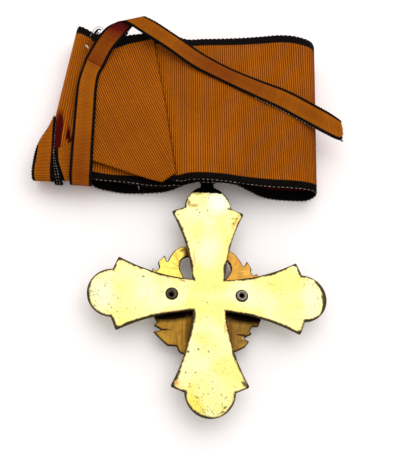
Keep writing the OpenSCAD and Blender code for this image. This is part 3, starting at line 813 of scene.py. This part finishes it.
def band(name, rows, pitch, width, thickness, columns, edge_places=None, shade=0.0,
         near_edge=1.0, far_edge=1.0, hollow=None, wrong_side_shade=0.0):
    """A woven band through rows of its two edges, four sections to each rib.

    A row is x, y, z of the first edge and x, y, z of the second. Columns are distances from the
    first edge on a band of the nominal width. Edge places give, for each row, how far its two
    ends lie from the first black edge, where the band is folded askew.
    """
    first, second = np.hsplit(np.asarray(rows, float), 2)
    rib = (second - first) / np.linalg.norm(second - first, axis=1)[:, None]
    step, lean = np.diff((first + second) / 2, axis=0), (rib[1:] + rib[:-1]) / 2
    square = step - (step * lean).sum(1)[:, None] * lean
    along = np.concatenate([[0], np.cumsum(np.linalg.norm(square, axis=1))])
    places = np.arange(int(along[-1] / (pitch / 4)) + 1) * pitch / 4
    section = at_places(places, along, rows)
    shares = np.asarray(columns) / width
    start = section[:, None, :3]
    surface = start + (section[:, None, 3:] - start) * shares[None, :, None]
    normal = facing(surface)
    ends = np.full((len(rows), 2), (0, width) if edge_places is None else edge_places)
    near = at_places(places, along, ends)
    across = near[:, :1] + (near[:, 1:] - near[:, :1]) * shares[None, :]
    # how much painted shade the band has and how wide its near black edge, at each section
    shade, near_edge = (
        np.interp(places, along, np.full(len(rows), value))[:, None]
        for value in (shade, near_edge)
    )
    dent = hollow(surface) if hollow else 0.0
    dark = np.maximum(dent, shade)
    # A hollow is pressed into what lies flat, not into the side of a fold.
    sunk = np.minimum(dent, 1) * np.clip(np.abs(normal[..., 2]) * 3 - 1.8, 0, 1) * HOLLOW_DEPTH
    made = woven_shell(
        name, surface - normal * sunk[:, :, None], normal, thickness, places, across,
        np.minimum(across / near_edge, (width - across) / far_edge), dark,
        np.maximum(dark, wrong_side_shade),
    )
    return made, section, normal


def columns_of(width, edge_width, count):
    """Columns of a band: a few close together at each black edge and even ones between."""
    near = [0, 0.1, 0.3, edge_width - 0.1, edge_width + 0.1]
    between = np.linspace(edge_width + 0.1, width - edge_width - 0.1, count)[1:-1]
    return np.array([*near, *between, *(width - v for v in reversed(near))])


# Ribs stand out of the mesh itself: each point moves along its normal by a wave on "along".
rib_tree, given = new_tree("woven_ribs", {"Rib pitch": "Float", "Rib height": "Float"})
place_along = add(rib_tree, "InputNamedAttribute", ["along"], data_type="FLOAT")
periods = add(rib_tree, "Math DIVIDE", [place_along, given["Rib pitch"]])
angle = add(rib_tree, "Math MULTIPLY", [periods, 2 * math.pi])
crest = add(rib_tree, "Math COSINE", [angle])
lift = add(rib_tree, "Math MULTIPLY", [crest, given["Rib height"]])
outwards = add(rib_tree, "InputNormal")
push = add(rib_tree, "VectorMath SCALE", [outwards, lift])
end_tree(rib_tree, given, add(
    rib_tree, "SetPosition", {"Geometry": given["Geometry"], "Offset": push}
))

# Columns: x, y, z of the near edge, x, y, z of the far edge
ribbon_rows = [
    # inner layer, from under the mitre to the left
    [-7.4, 29.55, 4.9, -7.4, 75.3, 5.2], [-9.5, 29.3, 4.4, -9.5, 75.3, 5.2],
    [-15, 29.2, 4.2, -15, 75.3, 5.3], [-22, 29.4, 5.3, -22, 75.3, 5.4],
    [-28.5, 29.7, 6.1, -28, 75.3, 5.5], [-33, 30.9, 6.1, -31, 75.2, 6],
    [-38.9, 30.8, 5.8, -34.5, 76, 7.3],
    # fold at the left
    [-41.2, 31.5, 5.1, -35.5, 76.2, 6.7], [-41.7, 32.4, 3.8, -35.6, 76, 4.8],
    [-38.9, 33.6, 1.9, -33.9, 75.6, 1.8],
    # lower layer, to the right
    [-32.5, 32.8, 2.1, -28.5, 75.4, 0.6], [-28.6, 29.7, 1.9, -24, 75.2, 0.3],
    [-24.5, 29.2, 0.9, -21.5, 75.2, 0.3], [-20, 29.1, 0.3, -19, 75.2, 0.3],
    [-13, 29.7, 0.3, -13, 75.2, 0.3], [-9, 29.85, 2, -9, 75.2, 0.3],
    [-5.5, 29.9, 5.5, -5.5, 75.2, 0.3], [-2, 30, 7.2, -2, 75.2, 0.3],
    [3, 30, 7.4, 3, 75.2, 0.3], [7.5, 29.9, 6.6, 7.5, 75.2, 0.3],
    [11, 29.7, 4.2, 11, 75.2, 0.3], [15, 29.5, 1.5, 15, 75.2, 0.3],
    [19.5, 29.4, 0.3, 19.5, 75.2, 0.3], [25.6, 29.4, 0.3, 25.2, 75.2, 0.3],
    # fold at the right
    [27.8, 29.4, 1.1, 28.9, 75.3, 1.7], [29, 29.5, 3.5, 31, 75.3, 5.7],
    [28.1, 29.6, 5.9, 29.3, 75.1, 9.6],
    # top layer, to the left and on under the mitre
    [25.2, 29.7, 6.8, 24.6, 75.3, 11.1], [21, 29.7, 7.2, 20, 75.65, 10.6],
    [16, 29.6, 7.4, 15, 75.7, 9.3], [9.5, 29.6, 8.1, 9, 75.45, 8.3],
    [4, 29.7, 9, 4, 75.25, 7.7], [-1, 29.75, 9.2, -1, 74.9, 7.4],
    [-5, 29.9, 8.3, -5, 74.5, 7.2], [-8.2, 30, 6.3, -8.2, 75.2, 7],
    [-12, 31.4, 5.7, -12, 75.1, 6.7], [-16.5, 33.6, 5.6, -16.5, 74.6, 6.5],
]
# The hollow beside the short tie, and the notch beside the long one, pressed in and painted dark
# as shade.
# Columns: x, y of the upper end, x, y of the lower end, half width, painted shade
hollows = [[-38.6, 48.6, -39.15, 37.6, 1.35, 1.15], [-36.35, 43.0, -35.35, 39.9, 0.6, 1.8]]


def hollow_share(surface):
    """How deep each point lies in a hollow, from 0 to the painted shade of that hollow."""
    deepest = np.zeros(surface.shape[:2])
    for x0, y0, x1, y1, half, darkness in hollows:
        top, run = np.array([x0, y0]), np.array([x1 - x0, y1 - y0])
        share = np.clip(((surface[..., :2] - top) @ run) / (run @ run), 0, 1)
        away = np.linalg.norm(surface[..., :2] - (top + share[..., None] * run), axis=-1)
        width = half * np.sqrt(np.clip(share * 5, 0.15, 1))
        deepest = np.maximum(deepest, np.clip((width - away) / 0.25, 0, 1) * darkness)
    # A hollow fades out where the fold turns down at the left.
    return deepest * np.clip((surface[..., 2] - 4.7) / 0.7, 0, 1)


silk_grosgrain = woven_silk("silk_grosgrain", RIB_PITCH, RIBBON_EDGE, "#aa600a", "#6b2c00", 1.0)
ribbon_table = curve_through(ribbon_rows)
# The near black edge is drawn wider where the lower layers curl up, at both sides of the cross, as
# painted shade inside the curl.
curl_shade = np.clip((np.abs(ribbon_table[:, 0]) - 6) / 4, 0, 1)
curl_shade *= np.clip((5.6 - ribbon_table[:, 2]) / 1.2, 0, 1)
# The wrong side of the ribbon, inside its folds, gets painted shade.
ribbon, ribbon_section, ribbon_normal = band(
    "neck_ribbon_cloth", ribbon_table, RIB_PITCH, RIBBON_W, RIBBON_T,
    columns_of(RIBBON_W, RIBBON_EDGE, 18), near_edge=1 + 0.45 * curl_shade, far_edge=FAR_EDGE,
    hollow=hollow_share, wrong_side_shade=1.5,
)
run_tree(ribbon, rib_tree, RIB_PITCH, RIB_HEIGHT * MM, silk_grosgrain)
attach(ribbon, "root")
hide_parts("neck_ribbon")

# Mitre
# Where the ribbon turns to go round the neck it is folded askew and sewn down to the top layer. Its
# ribs lean to the left, and its lower left edge is folded under and stands free.
LEAN_LOW, LEAN_HIGH = math.radians(29), math.radians(18.5)
MITRE_LOW, MITRE_HIGH = 30.0, 75.0
MITRE_PITCH_SHARE = math.cos((LEAN_LOW + LEAN_HIGH) / 2)
# Its black edge is so many times as wide as the near one at the seam and at the far left.
MITRE_EDGE_RIGHT, MITRE_EDGE_LEFT = 1.15, 1.75


def drift_of_rib(y):
    """How far a rib of the mitre has moved to the left at a height, from its lower end."""
    slope_low, slope_high = math.tan(LEAN_LOW), math.tan(LEAN_HIGH)
    rise = y - MITRE_LOW
    return slope_low * rise + (slope_high - slope_low) * rise ** 2 / 2 / (MITRE_HIGH - MITRE_LOW)


# Columns: x, y, z
mitre_lower_edge = np.array([
    [-15.1, 75.3, 7.15], [-14.64, 72.19, 7.1], [-12.99, 62.64, 7], [-11.53, 54.28, 6.9],
    [-10.29, 45.77, 6.82], [-9.24, 38.6, 6.78], [-8.25, 32.4, 6.76], [-11.7, 29.8, 6.25],
    [-14.84, 30.35, 6.4], [-17.92, 31.1, 6.7], [-23.78, 32.7, 7.2], [-28.98, 34.1, 7.5],
    [-31.9, 35, 7.5],
])
mitre_upper_edge = np.array([
    [-15.3, 75.9, 7.2], [-18.3, 75.3, 7.2], [-22.6, 74.2, 7.25], [-26, 72.9, 7.3],
    [-28.4, 71.8, 7.3], [-30.3, 64.1, 7.4], [-31.6, 60.6, 7.5], [-32.2, 56.9, 7.5],
    [-32.4, 48.3, 7.5], [-32.4, 40.4, 7.5], [-32.4, 36, 7.5],
])
lower_rib, upper_rib = (
    -(edge[:, 0] + drift_of_rib(edge[:, 1])) * MITRE_PITCH_SHARE
    for edge in (mitre_lower_edge, mitre_upper_edge)
)
first_rib = max(lower_rib[0], upper_rib[0])
last_rib = min(lower_rib[-1], upper_rib[-1])
rib_places = np.arange(first_rib, last_rib, RIB_PITCH / 4)
low = at_places(rib_places, lower_rib, mitre_lower_edge[:, 1:])
high = at_places(rib_places, upper_rib, mitre_upper_edge[:, 1:])
mitre_shares = np.array([0, 0.01, 0.03, *np.linspace(0.06, 0.94, 20), 0.97, 0.99, 1.0])
heights = low[:, None] + (high - low)[:, None] * mitre_shares[None, :, None]
sideways = -rib_places[:, None] / MITRE_PITCH_SHARE - drift_of_rib(heights[..., 0])
mitre_surface = np.stack([sideways, heights[..., 0], heights[..., 1]], axis=2)
top_edge = np.interp(rib_places, upper_rib[:5], mitre_upper_edge[:5, 1])
from_top = (top_edge[:, None] - heights[..., 0]) / math.cos(LEAN_HIGH)
mitre_edge = np.interp(rib_places, upper_rib[[0, 3]], [MITRE_EDGE_RIGHT, MITRE_EDGE_LEFT])
# The wrong side of the mitre gets painted shade.
mitre = woven_shell("mitre_cloth", mitre_surface, facing(mitre_surface), RIBBON_T,
                    rib_places - first_rib, from_top, from_top / mitre_edge[:, None], 0.0, 0.85)
run_tree(mitre, rib_tree, RIB_PITCH, RIB_HEIGHT * MM, silk_grosgrain)
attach(mitre, "root")
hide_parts("neck_ribbon")

# Ties
# Narrow grosgrain tapes with black edges, sewn to the ribbon's ends to tie it at the neck. The
# long one comes round the bundle, turns over at the top and ends frayed at the right.
TIE_PITCH, TIE_RIB_HEIGHT = 0.4, 0.02
TIE_W, TIE_T, TIE_EDGE = 5.0, 0.4, 0.66
silk_tape = woven_silk("silk_tape", TIE_PITCH, TIE_EDGE, "#ab6209", "#783602", 0.86)
# Columns: x, y, z of the outer edge, x, y, z of the inner edge, painted shade, and for the short
# tie the distances of both edges from the outer black edge
tie_rows = {
    "long": [
        [-34.8, 38, 0.3, -29.5, 38, 0.3, 0], [-34.8, 32.2, 0.3, -29.5, 32.1, 0.3, 0],
        [-34.8, 30.6, 1.4, -29.5, 30.5, 1.4, 0], [-34.9, 29.4, 3.3, -29.5, 29.3, 3.3, 0],
        [-34.9, 28.7, 5.2, -29.4, 28.6, 5.2, 0.05], [-34.9, 28.7, 6.7, -29.4, 28.6, 6.7, 0.1],
        [-35, 29.9, 7.8, -29.4, 29.8, 7.8, 0.38], [-35, 32.4, 8.1, -29.4, 32.4, 8.1, 0.34],
        [-35, 38.4, 8.15, -29.5, 38.4, 8.15, 0.24], [-34.9, 47.4, 8.15, -29.5, 47.4, 8.15, 0],
        [-34.7, 56.4, 8.05, -29.5, 55.4, 8.05, 0], [-33.9, 61.4, 7.9, -29.1, 59.9, 7.9, 0],
        # the crease, and the rise to the turn, in painted shade
        [-33.15, 64.6, 7.8, -28.3, 62.1, 7.8, 0.05], [-33.2, 65.1, 7.82, -28.1, 62.6, 7.82, 0.85],
        [-32.8, 65.9, 7.9, -27.8, 63.3, 7.85, 0.5], [-30.7, 70.2, 8.9, -25.9, 67.8, 8.8, 0.4],
        [-28.5, 73.7, 9.8, -23.2, 71.7, 9.7, 0.72], [-26.4, 75.5, 10.2, -20.4, 76, 10.1, 1.45],
        # turn at the top
        [-24.2, 76.1, 10.7, -17.8, 78.4, 10.6, 0.3], [-22.4, 75.6, 11, -16.9, 78.1, 10.9, 0],
        [-17.2, 72.5, 10.4, -14.2, 77.1, 10.4, 0],
        # over the top layer to the right
        [-11, 69.2, 9.2, -8.3, 73.9, 9.2, 0.03], [-4, 64.35, 8.6, -1.3, 69.2, 8.6, 0.32],
        [3.5, 60.3, 8.75, 6.2, 64.7, 8.85, 0.42], [11.9, 55.95, 9, 14.6, 60.8, 9.4, 0.26],
        [19.2, 52.1, 9.35, 21.8, 57.8, 9.85, 0.08], [26.3, 48, 9.35, 29, 53.8, 9.9, 0],
        [31.6, 45.5, 8.75, 32.6, 52.4, 9.1, 0], [35.2, 44.3, 8.1, 35.2, 51.3, 8.3, 0],
        [36.4, 44.7, 8, 36.5, 50.4, 8.1, 0],
    ],
    "inner": [
        [-38.9, 37.3, 6.55, -34, 40.6, 6.6, 0], [-38.8, 35.9, 6.65, -33.5, 37.3, 6.7, 0],
        [-38.5, 33.9, 6.7, -33.4, 34, 6.9, 0], [-37.7, 31.5, 6.65, -32.4, 31.5, 6.95, 0],
        [-37, 29.9, 6.1, -31.9, 29.9, 6.3, 0], [-36.7, 29.4, 5, -31.8, 29.7, 5.1, 0],
    ],
    "short": [
        # the diagonal fold, with no black edge on its left
        [-40.1, 47.3, 6.4, -39.5, 47, 6.6, 0, 4.4, 5],
        [-41.3, 43.6, 6.6, -39.5, 43.4, 6.8, 0, 3.2, 5],
        [-42.9, 40.2, 6.6, -39.5, 40.2, 6.8, 0, 1.2, 5],
        [-43.9, 36.7, 6.5, -39.4, 36.7, 6.7, 0, 0, 5],
        [-44.3, 32, 6.4, -39.3, 32, 6.6, 0, 0, 5],
        [-44.2, 29.7, 5.9, -39.1, 29.7, 6.1, 0.05, 0, 5],
        [-43.9, 29.3, 4.7, -39, 29.3, 4.8, 0.1, 0, 5],
        [-43.5, 30.4, 3, -38.9, 30.4, 3, 0, 0, 5],
        [-43.5, 31.8, 1.2, -38.9, 31.8, 1.2, 0, 0, 5],
        [-43.5, 33.4, 0.3, -38.9, 33.4, 0.3, 0, 0, 5],
        [-43.4, 40, 0.3, -38.9, 40, 0.3, 0, 0, 5],
    ],
}
ties, tie_bands = {}, {}
for name, rows in tie_rows.items():
    table = curve_through(rows)
    piece, section, normal = band(
        f"tie_{name}_cloth", table[:, :6], TIE_PITCH, TIE_W, TIE_T,
        columns_of(TIE_W, TIE_EDGE, 7), edge_places=table[:, 7:] if name == "short" else None,
        shade=table[:, 6],
    )
    run_tree(piece, rib_tree, TIE_PITCH, TIE_RIB_HEIGHT * MM, silk_tape)
    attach(piece, "root")
    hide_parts(f"tie_{name}")
    ties[name], tie_bands[name] = piece, (section, normal)

# Catch threads
# The needle loom closes one edge of the ribbon and of each tie with small pale loops of cotton, one
# to every second rib, and the other edge with black ones.
LOOP_SIZES = 0.76, 0.18  # length and width
PICK_SIZES = 0.85, 0.38


def thread_material(name, grain, detail, stops, roughness, gloss):
    """A spun thread whose colour changes along it, in a grain of so many waves to the metre."""
    material, tree, shader = new_material(name)
    place = add(tree, "TexCoord").outputs["Object"]
    tone = add(tree, "ValToRGB", [add(tree, "TexNoise", [place, grain, detail])], stops=stops)
    give(tree, shader, {"Base Color": tone, "Roughness": roughness, "Specular IOR Level": gloss})
    return material


# Cotton that was once white and glossy: grimy and dull, it gives grey-brown dots.
cotton_thread = thread_material("mercerised_cotton_thread", 900, 3,
                                [(0.35, "#3f3833"), (0.65, "#a39a90")], 0.8, 0.1)
# Black silk gives a dull edge with hardly a gloss.
black_silk = thread_material("black_silk_thread", 700, 2,
                             [(0, "#050403"), (1, "#15100c")], 0.75, 0.05)
# Clean bleached cotton gives a matt white.
bleached_cotton = thread_material("bleached_cotton_thread", 1500, 2,
                                  [(0.3, "#6f6964"), (0.65, "#cfc8c6")], 0.85, 0.1)
# Brown sewing silk is a little darker than the ribs beside it, dark enough to stand for the shadow
# line along the seam.
seam_shadow_silk = thread_material("brown_sewing_silk", 1200, 2,
                             [(0, "#4a1c04"), (1, "#7a3c08")], 0.8, 0.05)

# A tree that lays short loops end to end along the edges that it is given.
loop_tree, given = new_tree(
    "edge_loops", {"Loop pitch": "Float", "Loop length": "Float", "Loop width": "Float"}
)
path = add(loop_tree, "MeshToCurve", [given["Geometry"]])
stations = add(loop_tree, "CurveToPoints", [path, given["Loop pitch"]], mode="LENGTH")
bead = add(loop_tree, "MeshUVSphere", [8, 5, 0.5])
vary = add(loop_tree, "RandomValue", {"Min": 0.8, "Max": 1.1, "Seed": 4})
stretch = add(loop_tree, "Math MULTIPLY", [given["Loop length"], vary])
size = add(loop_tree, "CombineXYZ", [given["Loop width"], given["Loop width"], stretch])
end_tree(loop_tree, given, add(
    loop_tree, "InstanceOnPoints",
    {"Points": stations, "Instance": bead, "Rotation": stations.outputs["Rotation"],
     "Scale": size},
))


def along_paths(name, paths, tree, sizes, material):
    """One piece that a tree makes along paths. Its sizes are in millimetres too."""
    points, edges = [], []
    for path in paths:
        edges += [(i, i + 1) for i in range(len(points), len(points) + len(path) - 1)]
        points += list(placed(path))
    made = mesh_object(name, points, [], edges=edges)
    run_tree(made, tree, *(size * MM for size in sizes), material)
    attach(made, "root")
    return made


def edge_path(section, normal, side, out, up):
    """A line beside one edge of a band: out from its side and up from its middle."""
    first, second = section[:, :3], section[:, 3:]
    across = (second - first) / np.linalg.norm(second - first, axis=1)[:, None]
    if side == "first":
        return first - across * out + normal[:, 0] * up
    return second + across * out + normal[:, -1] * up


on_top = np.arange(len(ribbon_section)) > len(ribbon_section) * 0.7
shown = ~(on_top & (ribbon_section[:, 0] < -8.0))
near_edge = edge_path(ribbon_section[shown], ribbon_normal[shown], "first", 0.14, 0.1)
# On the inner layer, left of the suspension loop, they lie up to half a millimetre further in.
inwards = np.clip((near_edge[:, 0] + 29) / 10, 0, 1) * np.clip((-6.5 - near_edge[:, 0]) / 2, 0, 1)
near_edge += (inwards * (near_edge[:, 2] > 2.5))[:, None] * [0.0, 0.55, 0.22]
ribbon_loops = along_paths("ribbon_catch_thread", [near_edge], loop_tree,
                           (2 * RIB_PITCH, *LOOP_SIZES), cotton_thread)
ribbon_picks = along_paths(
    "ribbon_far_edge_picks", [edge_path(ribbon_section, ribbon_normal, "second", 0.02, 0.0)],
    loop_tree, (2 * RIB_PITCH, *PICK_SIZES), black_silk,
)
on_selvedge = mitre_surface[:, -1, 1] > 71.8
mitre_picks = along_paths("mitre_edge_picks", [mitre_surface[on_selvedge, -1]], loop_tree,
                          (2 * RIB_PITCH, *PICK_SIZES), black_silk)
long_section, long_normal = tie_bands["long"]
short_section, short_normal = tie_bands["short"]
outgoing = (long_section[:, 0] > 13) & (np.arange(len(long_section)) > len(long_section) / 2)
tie_loops = along_paths(
    "tie_catch_thread",
    [edge_path(long_section[outgoing], -long_normal[outgoing], "first", 0.05, 0.05)],
    loop_tree, (2 * TIE_PITCH, 0.45, 0.2), cotton_thread,
)
tie_picks = along_paths("tie_edge_picks", [long_section[:, 3:], short_section[:, :3]], loop_tree,
                        (2 * TIE_PITCH, 0.5, 0.3), black_silk)
# The end of the ribbon is gathered between the short tie and the inner one, so that only its black
# edges and their loops show there.
# Columns: x, y, z of the left side, x, y, z of the right side
gather_rows = [
    [-39.5, 37.6, 6.4, -39.15, 37.6, 6.6], [-39.5, 35.8, 6.6, -38.8, 35.8, 6.8],
    [-39.45, 33, 6.6, -38, 33, 6.9], [-39.2, 30.6, 6.4, -37.1, 30.6, 6.7],
    [-38.8, 29.1, 5.7, -36.7, 29.1, 5.9], [-38.6, 28.7, 4.6, -36.6, 28.7, 4.7],
    [-38.5, 29.3, 3.2, -36.6, 29.3, 3.3],
]
gather, gather_section, gather_normal = band(
    "gathered_black_edge", curve_through(gather_rows), RIB_PITCH, RIBBON_EDGE, RIBBON_T,
    np.linspace(0, RIBBON_EDGE, 7),
)
run_tree(gather, rib_tree, RIB_PITCH, 2 * RIB_HEIGHT * MM, silk_grosgrain)
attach(gather, "root")
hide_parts("neck_ribbon")
gather_lines = [
    gather_section[:, :3] * (1 - share) + gather_section[:, 3:] * share - gather_normal[:, 0] * 0.3
    for share in (0.36, 0.66)
]
gather_loops = along_paths("gathered_edge_loops", gather_lines, loop_tree, (0.75, 0.36, 0.22),
                           cotton_thread)
beside_hollow = short_section[:, 4] > 36.5
on_upper = np.arange(len(short_section)) < len(short_section) / 2
hollow_loops = along_paths(
    "hollow_edge_loops",
    [edge_path(short_section, -short_normal, "second", 0.1, 0.15)[beside_hollow & on_upper]],
    loop_tree, (2 * TIE_PITCH, 0.32, 0.16), cotton_thread,
)
# The mitre is sewn down along its right side with small brown stitches, set close so that they
# draw the shadow line along the seam.
seam = curve_through(mitre_lower_edge[:7] + [0.12, 0.0, 0.2])
seam_shadow_stitches = along_paths("seam_shadow_stitches", [seam], loop_tree, (1.3, 1.25, 0.24), seam_shadow_silk)

# Loose threads
# Ends of the sewing thread stand out where the ties are sewn on, and the cut end of the long tie
# has come apart into its silk threads.
thread_tree, given = new_tree("thread_runs", {"Thread radius": "Float"})
path = add(thread_tree, "MeshToCurve", [given["Geometry"]])
profile = add(thread_tree, "CurvePrimitiveCircle", [6, given["Thread radius"]])
end_tree(thread_tree, given, add(
    thread_tree, "CurveToMesh",
    {"Curve": path, "Profile Curve": profile, "Fill Caps": True},
))


def threads(name, runs, radius, material):
    """Threads that follow smooth curves through the given points, as one piece."""
    paths = [curve_through(run, 5) for run in runs]
    return along_paths(name, paths, thread_tree, [radius], material)


loose_threads = threads("grey_thread_ends", [
    # the loop beside the turn of the long tie
    [(-32.1, 72.7, 7.9), (-31.6, 74, 8), (-31.2, 75, 8.1), (-30.7, 75.6, 8.1),
     (-29.9, 75.9, 8.2), (-29.2, 75.6, 8.3), (-28.8, 75, 8.4)],
    # a thread that hangs over the black edges
    [(-17.7, 29.1, 4.7), (-17.5, 28.9, 4), (-17.4, 28.9, 3.3)],
    [(-17.1, 28.9, 1.4), (-16.8, 28.85, 0.8), (-16.3, 28.9, 0.6)],
], 0.09, cotton_thread)
stitch = threads("white_stitch", [[(-33.2, 69.4, 8.0), (-32.8, 69.0, 8.2), (-32.3, 68.3, 8.1)]],
                 0.2, bleached_cotton)
black_threads = threads("black_thread_ends", [
    # under the turn of the long tie
    [(-24.4, 70.6, 8.2), (-23.7, 71.4, 8.6), (-23.4, 72.2, 8.6), (-22.9, 72.8, 8.4)],
    [(-23.9, 71.6, 8.3), (-23.1, 72.6, 8.9), (-22.4, 73.4, 8.7), (-22, 74.4, 8.5)],
    [(-31.6, 71.2, 8.1), (-31.1, 72.3, 8.5), (-30.7, 73.3, 8.5), (-30.2, 74.4, 8.3)],
    [(-31.3, 71, 8.1), (-30.7, 72, 8.5), (-30.3, 73, 8.5), (-29.9, 73.9, 8.3)],
    [(-31, 70.8, 8.1), (-30.4, 71.7, 8.5), (-29.8, 72.8, 8.5), (-29.3, 73.6, 8.4)],
    [(-31, 73.6, 8.4), (-30.4, 74.5, 8.5), (-29.8, 74.8, 8.5), (-29.3, 74.5, 8.5)],
    # at the lower corner of the cut end
    [(35.9, 44.5, 8), (36.3, 44.2, 7.8), (36.6, 44.4, 7.6)],
], 0.19, black_silk)
FRAY_COUNT, FRAY_LENGTH = 40, 0.85
random_fray = np.random.default_rng(7)
end_low, end_high = np.array(tie_rows["long"][-1][:3]), np.array(tie_rows["long"][-1][3:6])
fray_runs = []
for share in np.linspace(0.08, 0.97, FRAY_COUNT):
    start = end_low * (1 - share) + end_high * share - [0.3, 0.0, 0.0]
    reach = FRAY_LENGTH * random_fray.uniform(0.5, 1.0) * (0.4 + 0.6 * math.sin(math.pi * share))
    turn = random_fray.normal(-0.35, 0.5)
    way = np.array([math.cos(turn), math.sin(turn), random_fray.uniform(-0.35, 0.1)])
    bent = np.array([0.0, random_fray.normal(0, 0.12), random_fray.normal(0, 0.06)])
    fray_runs.append([start, start + way * reach * 0.5 + bent, start + way * reach])
# Opened-out silk gives a lighter, brighter fringe than the woven band.
frayed_silk = thread_material("frayed_silk", 900, 2, [(0.35, "#8a3f04"), (0.65, "#c87a1c")],
                              0.7, 0.1)
fray = threads("frayed_end", fray_runs, 0.11, frayed_silk)
